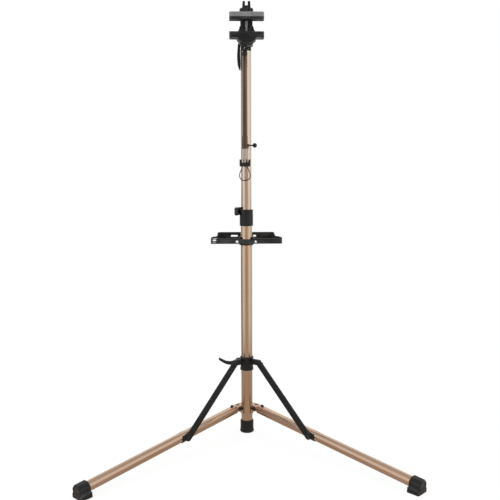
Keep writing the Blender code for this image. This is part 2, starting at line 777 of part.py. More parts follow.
def build_leg(side, label):
    plane = leg_plane(side)
    place = plane @ in_plane(side, HINGE_REACH, HINGE_HEIGHT, LEG_OFFSET)
    hinge_pin = rivet(
        "hinge_bolt_" + label, EAR_OUTER + FIT, HINGE_PIN_RADIUS, HINGE_PIN_HEAD, PIN_HEAD_HEIGHT, PAINT
    )
    put(hinge_pin, place)
    leg = pivot("leg_pivot_" + label, place @ Matrix.Rotation(LEG_SLOPE, 4, "Z"))
    inner_side = Vector((0, 0, side))
    along = Vector((1, 0, 0))

    bore = LEG_RADIUS - LEG_WALL
    foot_end = LEG_TO_FOOT + FOOT_HALF_LENGTH
    tube_end = foot_end - FOOT_END_WALL - FIT
    leg_tube = tube("leg_tube_" + label, bore, LEG_RADIUS, TUBE_START, tube_end, GOLD, 28)
    put(leg_tube, aim((0, 0, 0), along), leg)

    plug_radius = bore - FIT
    plug_end = TUBE_START + TONGUE_PLUG_LENGTH
    tongue = cylinder("hinge_tongue_" + label, plug_radius, TUBE_START, plug_end, GOLD)
    put(tongue, aim((0, 0, 0), along), leg)
    bar_end = TUBE_START + TONGUE_EYE
    bar = plate("tongue_bar", capsule((0, 0), (bar_end, 0), TONGUE_EYE), 2 * TONGUE_HALF)
    join(tongue, put(bar, Matrix(), leg))
    drill(tongue, HINGE_PIN_RADIUS + FIT, (0, 0, -EAR_OUTER), (0, 0, EAR_OUTER), leg)

    dome = LEG_SCREW_HEAD * 0.65
    screw = bolt("leg_screw_" + label, LEG_SCREW_HEAD, dome, LEG_SCREW_RADIUS, LEG_SCREW_LENGTH, PAINT)
    screw_top = (LEG_SCREW_PLACE, LEG_RADIUS + FIT, 0)
    put(screw, aim(screw_top, (0, 1, 0)), leg)
    for part in (leg_tube, tongue):
        hole_end = (LEG_SCREW_PLACE, LEG_RADIUS - LEG_SCREW_LENGTH - SLIVER, 0)
        hole_start = (LEG_SCREW_PLACE, LEG_RADIUS + SLIVER, 0)
        drill(part, LEG_SCREW_RADIUS + FIT, hole_start, hole_end, leg)

    clip = tube(
        "leg_clip_" + label,
        LEG_RADIUS + FIT,
        CLIP_RADIUS,
        LEG_TO_STRUT - CLIP_UPHILL,
        LEG_TO_STRUT + CLIP_DOWNHILL,
        PAINT,
        28,
    )
    put(clip, aim((0, 0, 0), along), leg)
    open_top = box(
        "clip_open_top",
        (LEG_TO_STRUT - CLIP_UPHILL - SLIVER, CLIP_LIP, -CLIP_RADIUS - SLIVER),
        (LEG_TO_STRUT + CLIP_DOWNHILL + SLIVER, CLIP_RADIUS + SLIVER, CLIP_RADIUS + SLIVER),
    )
    cut(clip, put(open_top, Matrix(), leg))

    strut_face = STRUT_OFFSET + STRUT_THICKNESS / 2 - LEG_OFFSET
    pin_depth = strut_face + FIT - bore + 0.004
    pin = bolt(
        "strut_foot_bolt_" + label, STRUT_PIN_HEAD, PIN_HEAD_HEIGHT, STRUT_PIN_RADIUS, pin_depth, PAINT
    )
    put(pin, aim(Vector((LEG_TO_STRUT, 0, side * (strut_face + FIT))), inner_side), leg)
    for part in (leg_tube, clip):
        hole_start = Vector((LEG_TO_STRUT, 0, side * (strut_face + FIT)))
        hole_end = Vector((LEG_TO_STRUT, 0, side * (bore - 0.006)))
        drill(part, STRUT_PIN_RADIUS + FIT, hole_start, hole_end, leg)
    build_foot(leg, label, tube_end, foot_end)
    return leg


def build_foot(leg, label, tube_end, foot_end):
    """Rubber boot: a barrel of eight sides on a wider sole, flat where it meets the ground."""
    eighth = math.pi / 4
    corner = FOOT_HALF_WIDTH / math.cos(eighth / 2)
    corners = arc((0, 0), corner, eighth / 2, 7.5 * eighth, 7)
    foot = plate("leg_foot_" + label, rounded(corners, 0.003, 3), 2 * FOOT_HALF_LENGTH, RUBBER)
    round_edges(foot, FOOT_CHAMFER)
    put(foot, axes((LEG_TO_FOOT, 0, 0), (0, 0, 1), (0, 1, 0)), leg)
    reach = FOOT_HALF_LENGTH + SLIVER
    sole = box(
        "foot_sole",
        (LEG_TO_FOOT - reach, -2 * FOOT_AXIS_HEIGHT, -FOOT_SOLE_HALF_WIDTH),
        (LEG_TO_FOOT + reach, FOOT_SOLE_HEIGHT - FOOT_AXIS_HEIGHT, FOOT_SOLE_HALF_WIDTH),
    )
    round_edges(sole, FOOT_CHAMFER)
    join(foot, put(sole, Matrix(), leg))
    mouth = LEG_TO_FOOT - reach - SLIVER
    drill(foot, LEG_RADIUS + FIT, (mouth, 0, 0), (tube_end + FIT, 0, 0), leg, 28)
    ground = box("ground", (-1, -1, -0.1), (1, 1, 0))
    cut(foot, ground)


def build_strut(side, label, leg):
    rise = STRUT_TOP_HEIGHT - STRUT_FOOT_HEIGHT
    run = STRUT_TOP_REACH - STRUT_FOOT_REACH
    length = math.hypot(rise, run)
    heading = math.atan2(rise, run)
    shift = side * (STRUT_OFFSET - LEG_OFFSET)
    place = Matrix.Translation((LEG_TO_STRUT, 0, shift)) @ Matrix.Rotation(heading - LEG_SLOPE, 4, "Z")
    arm = pivot("strut_pivot_" + label, place, leg)
    strut = plate(
        "strut_" + label, capsule((0, 0), (length, 0), STRUT_HALF_WIDTH), STRUT_THICKNESS, PAINT, 0.0012
    )
    put(strut, Matrix(), arm)
    for x in (0, length):
        drill(strut, STRUT_PIN_RADIUS + FIT, (x, 0, -STRUT_THICKNESS), (x, 0, STRUT_THICKNESS), arm)
    depth = STRUT_THICKNESS + 2 * FIT + LUG_THICKNESS
    pin = bolt("strut_top_bolt_" + label, STRUT_PIN_HEAD, PIN_HEAD_HEIGHT, STRUT_PIN_RADIUS, depth, PAINT)
    face = side * (STRUT_THICKNESS / 2 + FIT)
    put(pin, aim((length, 0, face), (0, 0, side)), arm)


# Sliding collar


def build_slider():
    outer = SLEEVE_BORE + SLIDER_WALL
    rim = outer + SLIDER_RIM
    profile = [
        (0.0, SLIDER_TOP),
        (rim, SLIDER_TOP),
        (rim, SLIDER_TOP - SLIDER_RIM_HEIGHT),
        (outer, SLIDER_TOP - SLIDER_RIM_HEIGHT - SLIDER_RIM),
        (outer, SLIDER_BASE + SLIDER_RIM_HEIGHT + SLIDER_RIM),
        (rim, SLIDER_BASE + SLIDER_RIM_HEIGHT),
        (rim, SLIDER_BASE),
        (0.0, SLIDER_BASE),
    ]
    slider = pivot("slider_pivot", Matrix())
    collar = turned("slider_collar", profile, PLASTIC, 28)
    put(collar, Matrix(), slider)
    for side in (-1, 1):
        plane = leg_plane(side)
        root = (OUTER_TUBE_RADIUS * 0.6, STRUT_TOP_HEIGHT - LUG_RADIUS / 3)
        top = (STRUT_TOP_REACH, STRUT_TOP_HEIGHT)
        lug = plate("strut_lug", capsule(root, top, LUG_RADIUS), LUG_THICKNESS)
        join(collar, put(lug, plane @ in_plane(side, 0, 0, LUG_OFFSET)))
        notch_end = (
            STRUT_TOP_REACH + 2 * LUG_RADIUS * math.cos(LUG_NOTCH_ANGLE),
            STRUT_TOP_HEIGHT + 2 * LUG_RADIUS * math.sin(LUG_NOTCH_ANGLE),
        )
        notch = plate("lug_notch", capsule(top, notch_end, LUG_NOTCH_HALF), 2 * LUG_THICKNESS)
        cut(collar, put(notch, plane @ in_plane(side, 0, 0, LUG_OFFSET)))

    ear_inner = SLIDER_LEVER_WIDTH / 2 + FIT
    ear_start = (-OUTER_TUBE_RADIUS * 0.8, CAM_PIN_HEIGHT)
    cam_pin = (-CAM_PIN_REACH, CAM_PIN_HEIGHT)
    for end in (-1, 1):
        ear = plate("cam_ear", capsule(ear_start, cam_pin, CAM_EAR_RADIUS), CAM_EAR_THICKNESS)
        join(collar, put(ear, facing_front(end * (ear_inner + CAM_EAR_THICKNESS / 2))))
    cut(collar, cylinder("slider_bore", SLEEVE_BORE, SLIDER_BASE - SLIVER, SLIDER_TOP + SLIVER, None, 28))
    ear_outer = ear_inner + CAM_EAR_THICKNESS
    hole_start = (-CAM_PIN_REACH, -ear_outer - SLIVER, CAM_PIN_HEIGHT)
    hole_end = (-CAM_PIN_REACH, ear_outer + SLIVER, CAM_PIN_HEIGHT)
    drill(collar, LEVER_PIN_RADIUS + FIT, hole_start, hole_end)

    shoe_outer = -CAM_PIN_REACH + CAM_RADIUS + FIT
    shoe_half = SLIDER_LEVER_WIDTH / 2 - FIT
    window = box(
        "shoe_window",
        (shoe_outer, -shoe_half - FIT, CAM_PIN_HEIGHT - SHOE_HALF_HEIGHT - FIT),
        (0, shoe_half + FIT, CAM_PIN_HEIGHT + SHOE_HALF_HEIGHT + FIT),
    )
    cut(collar, window)
    shoe = box(
        "slider_shoe",
        (shoe_outer, -shoe_half, CAM_PIN_HEIGHT - SHOE_HALF_HEIGHT),
        (-SLEEVE_BORE, shoe_half, CAM_PIN_HEIGHT + SHOE_HALF_HEIGHT),
        RUBBER,
    )
    put(shoe, Matrix(), slider)
    cut(shoe, cylinder("shoe_seat", SLEEVE_BORE, SLIDER_BASE, SLIDER_TOP, None, 28))

    lever = pivot("slider_lever_pivot", Matrix.Translation((-CAM_PIN_REACH, 0, CAM_PIN_HEIGHT)), slider)
    outline = blade((0, 0), SLIDER_LEVER_BEND, SLIDER_LEVER_TIP, CAM_RADIUS, 0.0035)
    handle = plate("slider_lever", outline, SLIDER_LEVER_WIDTH, PLASTIC, 0.0012)
    put(handle, FRONT_VIEW, lever)
    half = SLIDER_LEVER_WIDTH
    drill(handle, LEVER_PIN_RADIUS + FIT, (0, -half, 0), (0, half, 0), lever)
    pin = rivet("slider_lever_pin", ear_outer + FIT, LEVER_PIN_RADIUS, 0.0034, 0.0015, STEEL, 16)
    put(pin, aim((-CAM_PIN_REACH, 0, CAM_PIN_HEIGHT), BACK), slider)


# Quick releases


def build_quick_release(name, ear_face, cam, skewer_place, pin_axis, outline, outline_frame, width, parent):
    """Skewer across two ears along X, with a nut at the right and a cam lever on a pin at the left.

    The outline is drawn about the lever's pin, and cam is the radius of its root.
    """
    pin_x = -(ear_face + FIT + cam)
    y, z = skewer_place
    centre = Vector((pin_x, y, z))
    end = ear_face + NUT_HEIGHT - 0.002
    skewer = cylinder(name + "_skewer", SKEWER_RADIUS, pin_x, end, STEEL, 20)
    put(skewer, aim((0, y, z), RIGHT), parent)
    eye = cylinder("skewer_eye", SKEWER_EYE, -SKEWER_EYE_HALF, SKEWER_EYE_HALF, None, 20)
    join(skewer, put(eye, aim(centre, pin_axis), parent))
    axis = Vector(pin_axis)
    drill(skewer, LEVER_PIN_RADIUS + FIT, centre - axis * width, centre + axis * width, parent)

    nut_profile = [
        (0.0, NUT_HEIGHT - 0.002 + FIT),
        (SKEWER_RADIUS + FIT, NUT_HEIGHT - 0.002 + FIT),
        (SKEWER_RADIUS + FIT, FIT),
        (NUT_RADIUS, FIT),
        (NUT_RADIUS, NUT_HEIGHT * 0.6),
        (NUT_RADIUS * 0.6, NUT_HEIGHT),
        (0.0, NUT_HEIGHT),
    ]
    nut = turned(name + "_nut", nut_profile[::-1], STEEL, 20)
    put(nut, aim((ear_face, y, z), RIGHT), parent)

    lever = pivot(name + "_lever_pivot", Matrix.Translation(centre), parent)
    handle = plate(name + "_lever", outline, width, PLASTIC, 0.0012)
    put(handle, outline_frame, lever)
    reach = cam + SLIVER
    slot_half = SKEWER_EYE_HALF + FIT
    across = Vector((1, 1, 1)) - axis
    slot = box("lever_slot", -across * reach - axis * slot_half, across * reach + axis * slot_half)
    cut(handle, put(slot, Matrix(), lever))
    drill(handle, LEVER_PIN_RADIUS + FIT, -axis * width, axis * width, lever)
    pin = cylinder(name + "_lever_pin", LEVER_PIN_RADIUS, -width / 2 + SLIVER, width / 2 - SLIVER, STEEL, 16)
    put(pin, aim(centre, pin_axis), parent)


def shifted(point, origin):
    return (point[0] - origin[0], point[1] - origin[1])


def build_mast_clamp():
    outer = SLEEVE_BORE + CLAMP_WALL
    seat = OUTER_TUBE_TOP + FIT
    lip = INNER_TUBE_RADIUS + FIT
    profile = [
        (0.0, CLAMP_TOP),
        (outer - SLIVER, CLAMP_TOP),
        (outer, CLAMP_TOP - SLIVER),
        (outer, CLAMP_BASE + SLIVER),
        (outer - SLIVER, CLAMP_BASE),
        (0.0, CLAMP_BASE),
    ]
    collar = turned("mast_clamp_collar", profile, PLASTIC, 28)
    root = (OUTER_TUBE_RADIUS * 0.8, CLAMP_SKEWER_HEIGHT)
    ear = plate(
        "clamp_ear",
        capsule(root, (CLAMP_SKEWER_REACH, CLAMP_SKEWER_HEIGHT), CLAMP_EAR_RADIUS),
        2 * CLAMP_EAR_HALF_SPAN,
    )
    join(collar, put(ear, facing_side(0)))
    ear_top = CLAMP_SKEWER_HEIGHT + CLAMP_EAR_RADIUS
    bore_top = max(CLAMP_TOP, ear_top) + SLIVER
    bore_profile = [
        (0.0, bore_top),
        (lip, bore_top),
        (lip, seat),
        (SLEEVE_BORE, seat),
        (SLEEVE_BORE, CLAMP_BASE - SLIVER),
        (0.0, CLAMP_BASE - SLIVER),
    ]
    cut(collar, turned("clamp_bore", bore_profile, None, 28))
    back = CLAMP_SKEWER_REACH + 2 * CLAMP_EAR_RADIUS
    slit = box(
        "clamp_slit",
        (-CLAMP_SLIT / 2, 0, CLAMP_BASE - SLIVER),
        (CLAMP_SLIT / 2, back, bore_top),
    )
    cut(collar, slit)
    reach = CLAMP_EAR_HALF_SPAN + SLIVER
    place = (CLAMP_SKEWER_REACH, CLAMP_SKEWER_HEIGHT)
    drill(collar, SKEWER_RADIUS + FIT, (-reach, *place), (reach, *place))

    pin = (-(CLAMP_EAR_HALF_SPAN + FIT + CLAMP_CAM_RADIUS), CLAMP_SKEWER_REACH)
    bend = shifted(CLAMP_LEVER_BEND, pin)
    tip = shifted(CLAMP_LEVER_TIP, pin)
    outline = blade((0, 0), bend, tip, CLAMP_CAM_RADIUS, 0.0055)
    build_quick_release(
        "mast_clamp",
        CLAMP_EAR_HALF_SPAN,
        CLAMP_CAM_RADIUS,
        place,
        UP,
        outline,
        Matrix(),
        CLAMP_LEVER_WIDTH,
        None,
    )


# Tool tray


def tray_outline(inset):
    front = TRAY_FRONT + inset
    back = TRAY_BACK - inset
    rack_back = TRAY_FRONT + TRAY_RACK_DEPTH - inset
    box_start = TRAY_FRONT + TRAY_RACK_DEPTH + TRAY_RACK_EASE - inset
    corners = [
        (-TRAY_FRONT_HALF + inset, front),
        (TRAY_FRONT_HALF - inset, front),
        (TRAY_FRONT_HALF - inset, rack_back),
        (TRAY_BACK_HALF - inset, box_start),
        (TRAY_BACK_HALF - inset, back),
        (-TRAY_BACK_HALF + inset, back),
        (-TRAY_BACK_HALF + inset, box_start),
        (-TRAY_FRONT_HALF + inset, rack_back),
    ]
    return rounded(corners, TRAY_CORNER - inset, 4)


def build_tray():
    holder = pivot("tray_pivot", Matrix())
    height = TRAY_BACK_HEIGHT
    tray = plate("tool_tray", tray_outline(0.0), height, PLASTIC)
    put(tray, facing_up(TRAY_BASE + height / 2), holder)
    inside = plate("tray_inside", tray_outline(TRAY_WALL), height)
    cut(tray, put(inside, facing_up(TRAY_BASE + height / 2 + TRAY_FLOOR)))
    depth = TRAY_BACK - TRAY_FRONT
    slope = math.atan2(TRAY_BACK_HEIGHT - TRAY_FRONT_HEIGHT, depth)
    above = box("tray_rim_cut", (-1, -1, 0), (1, 1, 0.1))
    front_rim = Matrix.Translation((0, TRAY_FRONT, TRAY_BASE + TRAY_FRONT_HEIGHT))
    cut(tray, put(above, front_rim @ Matrix.Rotation(slope, 4, "X")))

    ring_base = TRAY_BASE - TRAY_RING_DROP
    ring_top = TRAY_BASE + TRAY_RING_RISE
    ring = cylinder("tray_ring", SLEEVE_BORE + TRAY_RING_WALL, ring_base, ring_top, None, 28)
    join(tray, ring)
    dip = box(
        "tray_dip",
        (-TRAY_DIP_HALF, TRAY_FRONT - SLIVER, TRAY_BASE + TRAY_DIP_RISE),
        (TRAY_DIP_HALF, 0, TRAY_BASE + TRAY_BACK_HEIGHT),
    )
    cut(tray, dip)
    cut(tray, cylinder("tray_bore", SLEEVE_BORE, ring_base - SLIVER, ring_top + SLIVER, None, 28))

    floor_top = TRAY_BASE + TRAY_FLOOR + SLIVER
    window_low = TRAY_BASE + TOOL_WINDOW_RISE
    for side in (-1, 1):
        x = side * TOOL_SLOT_PLACE
        slot = box(
            "tool_slot",
            (x - TOOL_SLOT_WIDTH / 2, TOOL_SLOT_FRONT, TRAY_BASE - SLIVER),
            (x + TOOL_SLOT_WIDTH / 2, TOOL_SLOT_BACK, floor_top),
        )
        cut(tray, slot)
        window = box(
            "tray_window",
            (x - TOOL_SLOT_WIDTH / 2, TRAY_FRONT - SLIVER, window_low),
            (x + TOOL_SLOT_WIDTH / 2, TRAY_FRONT + TRAY_WALL + SLIVER, window_low + TOOL_WINDOW_HEIGHT),
        )
        cut(tray, window)
        for place in TOOL_HOLE_PLACES:
            hole = (side * place[0], place[1])
            drill(tray, TOOL_HOLE_RADIUS, (*hole, TRAY_BASE - SLIVER), (*hole, floor_top))
    for rise in RACK_SLOT_RISES:
        low = TRAY_BASE + rise
        slot = box(
            "rack_slot",
            (-RACK_SLOT_OUTER, TRAY_FRONT - SLIVER, low),
            (-RACK_SLOT_INNER, TRAY_FRONT + TRAY_CORNER, low + RACK_SLOT_HEIGHT),
        )
        cut(tray, slot)
    low = TRAY_BASE + RACK_WINDOW_RISE
    rack_start = TRAY_FRONT + TRAY_RACK_DEPTH - 2 * TRAY_WALL
    rack_end = TRAY_FRONT + TRAY_RACK_DEPTH + TRAY_RACK_EASE + TRAY_WALL
    behind = box(
        "rack_window",
        (-RACK_SLOT_OUTER, rack_start, low),
        (-RACK_SLOT_INNER, rack_end, low + RACK_WINDOW_HEIGHT),
    )
    cut(tray, behind)
    low = TRAY_BASE + BACK_WINDOW_RISE
    for left, right in BACK_WINDOW_SPANS:
        window = box(
            "back_window",
            (left, TRAY_BACK - TRAY_WALL - SLIVER, low),
            (right, TRAY_BACK + SLIVER, low + BACK_WINDOW_HEIGHT),
        )
        cut(tray, window)

    seat = SLEEVE_BORE + TRAY_RING_WALL
    drill(tray, TRAY_SCREW_RADIUS + FIT, (0, 0, TRAY_SCREW_HEIGHT), (0, seat + SLIVER, TRAY_SCREW_HEIGHT))
    knob_base = seat + FIT
    profile = [
        (0.0, TRAY_SCREW_REACH),
        (TRAY_SCREW_KNOB * 0.8, TRAY_SCREW_REACH),
        (TRAY_SCREW_KNOB, TRAY_SCREW_REACH - 2 * SLIVER),
        (TRAY_SCREW_KNOB, knob_base + 5 * SLIVER),
        (TRAY_SCREW_KNOB * 0.6, knob_base),
        (TRAY_SCREW_RADIUS, knob_base),
        (TRAY_SCREW_RADIUS, SLEEVE_BORE),
        (0.0, SLEEVE_BORE),
    ]
    screw = turned("tray_screw", profile, PLASTIC, 20)
    put(screw, aim((0, 0, TRAY_SCREW_HEIGHT), BACK), holder)


# Head


def build_yoke(upper):
    seat = INNER_TUBE_TOP + FIT
    crown = seat + YOKE_CROWN
    plug = INNER_TUBE_BORE - FIT
    profile = [
        (0.0, crown),
        (INNER_TUBE_RADIUS - SLIVER, crown),
        (INNER_TUBE_RADIUS, crown - SLIVER),
        (INNER_TUBE_RADIUS, seat),
        (plug, seat),
        (plug, seat - YOKE_PLUG_DEPTH),
        (0.0, seat - YOKE_PLUG_DEPTH),
    ]
    yoke = turned("head_yoke", profile, PLASTIC, 28)
    put(yoke, Matrix(), upper)
    ear_middle = YOKE_EAR_GAP_HALF + YOKE_EAR_THICKNESS / 2
    for side in (-1, 1):
        start = (0, crown - YOKE_CROWN / 2 + YOKE_EAR_RADIUS)
        ear = plate("yoke_ear", capsule(start, (0, HEAD_AXIS_HEIGHT), YOKE_EAR_RADIUS), YOKE_EAR_THICKNESS)
        join(yoke, put(ear, facing_side(side * ear_middle)))
    ear_face = YOKE_EAR_GAP_HALF + YOKE_EAR_THICKNESS
    reach = ear_face + SLIVER
    drill(yoke, SKEWER_RADIUS + FIT, (-reach, 0, HEAD_AXIS_HEIGHT), (reach, 0, HEAD_AXIS_HEIGHT))
    hook_start = (ROD_X, -INNER_TUBE_RADIUS - SLIVER, HOOK_HEIGHT)
    hook_end = (ROD_X, -INNER_TUBE_RADIUS / 2, HOOK_HEIGHT)
    drill(yoke, HOOK_RADIUS + FIT, hook_start, hook_end)

    outline = blade(
        (0, 0), HEAD_LEVER_BEND, HEAD_LEVER_TIP, HEAD_CAM_RADIUS, HEAD_LEVER_TIP_HALF, HEAD_LEVER_BELLY
    )
    place = (0, HEAD_AXIS_HEIGHT)
    build_quick_release(
        "head", ear_face, HEAD_CAM_RADIUS, place, BACK, outline, FRONT_VIEW, HEAD_LEVER_WIDTH, upper
    )


def build_arm(upper):
    tilt = pivot("head_tilt_pivot", Matrix.Translation((0, 0, HEAD_AXIS_HEIGHT)), upper)
    flange_back = -BODY_BACK - FIT - FLANGE_THICKNESS
    flange_front = -BODY_BACK - FIT
    tip = flange_front + SPINDLE_LENGTH
    root = YOKE_EAR_GAP_HALF
    profile = [
        (0.0, tip),
        (SPINDLE_RADIUS - SLIVER, tip),
        (SPINDLE_RADIUS, tip - SLIVER),
        (SPINDLE_RADIUS, flange_front),
        (FLANGE_RADIUS, flange_front),
        (FLANGE_RADIUS, flange_back),
        (ARM_RADIUS, flange_back - 3 * SLIVER),
        (ARM_RADIUS, YOKE_EAR_RADIUS + 3 * SLIVER),
        (root - SLIVER, YOKE_EAR_RADIUS + SLIVER),
        (root - SLIVER, 0.0),
        (0.0, 0.0),
    ]
    arm = turned("head_arm", profile, PAINT, 32)
    put(arm, aim((0, 0, 0), FRONT), tilt)
    width = 2 * (YOKE_EAR_GAP_HALF - FIT)
    eye = plate("arm_eye", capsule((-YOKE_EAR_RADIUS, 0), (0, 0), ARM_EYE_RADIUS), width)
    join(arm, put(eye, SIDE_VIEW, tilt))
    drill(arm, SKEWER_RADIUS + FIT, (-width, 0, 0), (width, 0, 0), tilt)
    return tilt


def flare(half, low, neck_half, high, steps=5):
    """Points of a side that sweeps in from a wide foot to a straight neck."""
    foot = Vector((half, low))
    bend = Vector((neck_half, low + (high - low) * 0.3))
    neck = Vector((neck_half, high))
    shares = [k / steps for k in range(steps + 1)]
    return [tuple(foot * (1 - t) ** 2 + bend * 2 * t * (1 - t) + neck * t * t) for t in shares]


def guide_outline(growth):
    """Plan of the guide that the jaw slides on: two posts joined by a web behind the screw."""
    half = GUIDE_HALF_WIDTH + growth
    slot = GUIDE_SLOT_HALF - growth
    depth = GUIDE_HALF_DEPTH + growth
    web = GUIDE_HALF_DEPTH - GUIDE_WEB - growth
    return [
        (-half, -depth),
        (-slot, -depth),
        (-slot, web),
        (slot, web),
        (slot, -depth),
        (half, -depth),
        (half, depth),
        (-half, depth),
    ]


def build_clamp_body(tilt):
    turn = pivot("clamp_turn_pivot", Matrix.Translation((0, BODY_BACK, 0)), tilt)
    head = pivot("clamp_frame", Matrix.Translation((0, -BODY_BACK, -HEAD_AXIS_HEIGHT)), turn)
    neck_half = GUIDE_HALF_WIDTH + FIT + BODY_NECK_WALL
    corner = (neck_half - BODY_CORNER, BODY_BASE + BODY_CORNER)
    right = arc(corner, BODY_CORNER, -math.pi / 2, 0, 4)
    right.append((BODY_HALF_WIDTH, LOWER_JAW_BASE + SLIVER))
    right += flare(BODY_HALF_WIDTH, BODY_SHOULDER, neck_half, BODY_TOP)
    left = [(-x, z) for x, z in reversed(right)]
    body = plate("clamp_body", right + left, BODY_BACK - BODY_FRONT, PAINT, 0.0015)
    put(body, facing_front((BODY_BACK + BODY_FRONT) / 2), head)

    half_ring = arc((0, 0), BODY_HALF_WIDTH, math.pi, 2 * math.pi, 20)
    flatness = NOSE_DROP / BODY_HALF_WIDTH
    bottom = [(x, HEAD_AXIS_HEIGHT + z * flatness) for x, z in half_ring]
    nose_outline = bottom + [(BODY_HALF_WIDTH, NOSE_TOP), (-BODY_HALF_WIDTH, NOSE_TOP)]
    nose = plate("clamp_nose", nose_outline, NOSE_BACK - NOSE_FRONT)
    round_edges(nose, 0.004, 2)
    join(body, put(nose, facing_front((NOSE_BACK + NOSE_FRONT) / 2), head))
    seat = box(
        "pad_seat",
        (-2 * JAW_HALF_WIDTH, JAW_FRONT - FIT, LOWER_JAW_TOP),
        (2 * JAW_HALF_WIDTH, BODY_FRONT, BODY_TOP),
    )
    cut(body, put(seat, Matrix(), head))
    jaw = plate(
        "lower_jaw",
        rounded(jaw_corners(BODY_FRONT + JAW_CORNER), JAW_CORNER),
        LOWER_JAW_TOP - LOWER_JAW_BASE,
    )
    join(body, put(jaw, facing_up((LOWER_JAW_BASE + LOWER_JAW_TOP) / 2), head))

    socket_top = BODY_TOP + SLIVER
    socket = plate("guide_socket", guide_outline(FIT), socket_top - SOCKET_FLOOR)
    cut(body, put(socket, Matrix.Translation((0, SCREW_Y, (SOCKET_FLOOR + socket_top) / 2)), head))
    drill(body, SCREW_RADIUS + FIT, (0, SCREW_Y, SOCKET_FLOOR), (0, SCREW_Y, socket_top), head)
    window = box(
        "screw_window",
        (-GUIDE_SLOT_HALF, BODY_FRONT - SLIVER, LOWER_PAD_TOP + SLIVER),
        (GUIDE_SLOT_HALF, SCREW_Y + GUIDE_HALF_DEPTH - GUIDE_WEB, socket_top),
    )
    cut(body, put(window, Matrix(), head))
    spindle_end = BODY_BACK - SPINDLE_LENGTH - FIT
    drill(
        body,
        SPINDLE_RADIUS + FIT,
        (0, BODY_BACK + SLIVER, HEAD_AXIS_HEIGHT),
        (0, spindle_end, HEAD_AXIS_HEIGHT),
        head,
        32,
    )
    pad = build_pad("lower_jaw_pad", LOWER_JAW_TOP + FIT, LOWER_PAD_TOP, BODY_FRONT - FIT, LOWER_PAD_TOP)
    put(pad, Matrix(), head)
    return head


def jaw_corners(back):
    return [
        (-JAW_HALF_WIDTH, JAW_FRONT),
        (JAW_HALF_WIDTH, JAW_FRONT),
        (JAW_HALF_WIDTH, back),
        (-JAW_HALF_WIDTH, back),
    ]


def build_pad(name, low, high, back, groove_height):
    """Rubber pad of a jaw, with a groove along it on the face that grips."""
    pad = plate(name, rounded(jaw_corners(back), JAW_CORNER), high - low, RUBBER)
    pad.data.transform(Matrix.Translation((0, 0, (low + high) / 2)))
    middle = (JAW_FRONT + back) / 2
    corners = [
        (middle - PAD_GROOVE_HALF, groove_height),
        (middle, groove_height - PAD_GROOVE_DEPTH),
        (middle + PAD_GROOVE_HALF, groove_height),
        (middle, groove_height + PAD_GROOVE_DEPTH),
    ]
    groove = plate(name + "_groove", corners, 3 * JAW_HALF_WIDTH)
    cut(pad, put(groove, SIDE_VIEW, pad))
    return pad


def build_upper_jaw(head):
    slide = pivot("upper_jaw_pivot", Matrix(), head)
    neck = UPPER_JAW_NECK_HALF
    bar_back = SCREW_Y - GUIDE_HALF_DEPTH
    outline = rounded(
        [
            (-JAW_HALF_WIDTH, JAW_FRONT),
            (JAW_HALF_WIDTH, JAW_FRONT),
            (JAW_HALF_WIDTH, bar_back),
            (neck, bar_back),
            (neck, UPPER_JAW_BACK),
            (-neck, UPPER_JAW_BACK),
            (-neck, bar_back),
            (-JAW_HALF_WIDTH, bar_back),
        ],
        JAW_CORNER,
    )
    jaw = plate("upper_jaw", outline, UPPER_JAW_TOP - UPPER_JAW_BASE, GREY, 0.0012)
    put(jaw, facing_up((UPPER_JAW_TOP + UPPER_JAW_BASE) / 2), slide)
    guide_top = UPPER_JAW_BASE - FIT
    guide = plate("jaw_guide", guide_outline(0.0), guide_top - SCREW_BASE, PAINT)
    put(guide, Matrix.Translation((0, SCREW_Y, (SCREW_BASE + guide_top) / 2)), slide)
    drill(
        jaw,
        SCREW_RADIUS + FIT,
        (0, SCREW_Y, UPPER_JAW_BASE - SLIVER),
        (0, SCREW_Y, UPPER_JAW_TOP + SLIVER),
        slide,
    )
    pad_back = BODY_FRONT - FIT
    pad = build_pad("upper_jaw_pad", UPPER_PAD_BASE, UPPER_JAW_BASE - FIT, pad_back, UPPER_PAD_BASE)
    put(pad, Matrix(), slide)
    return slide


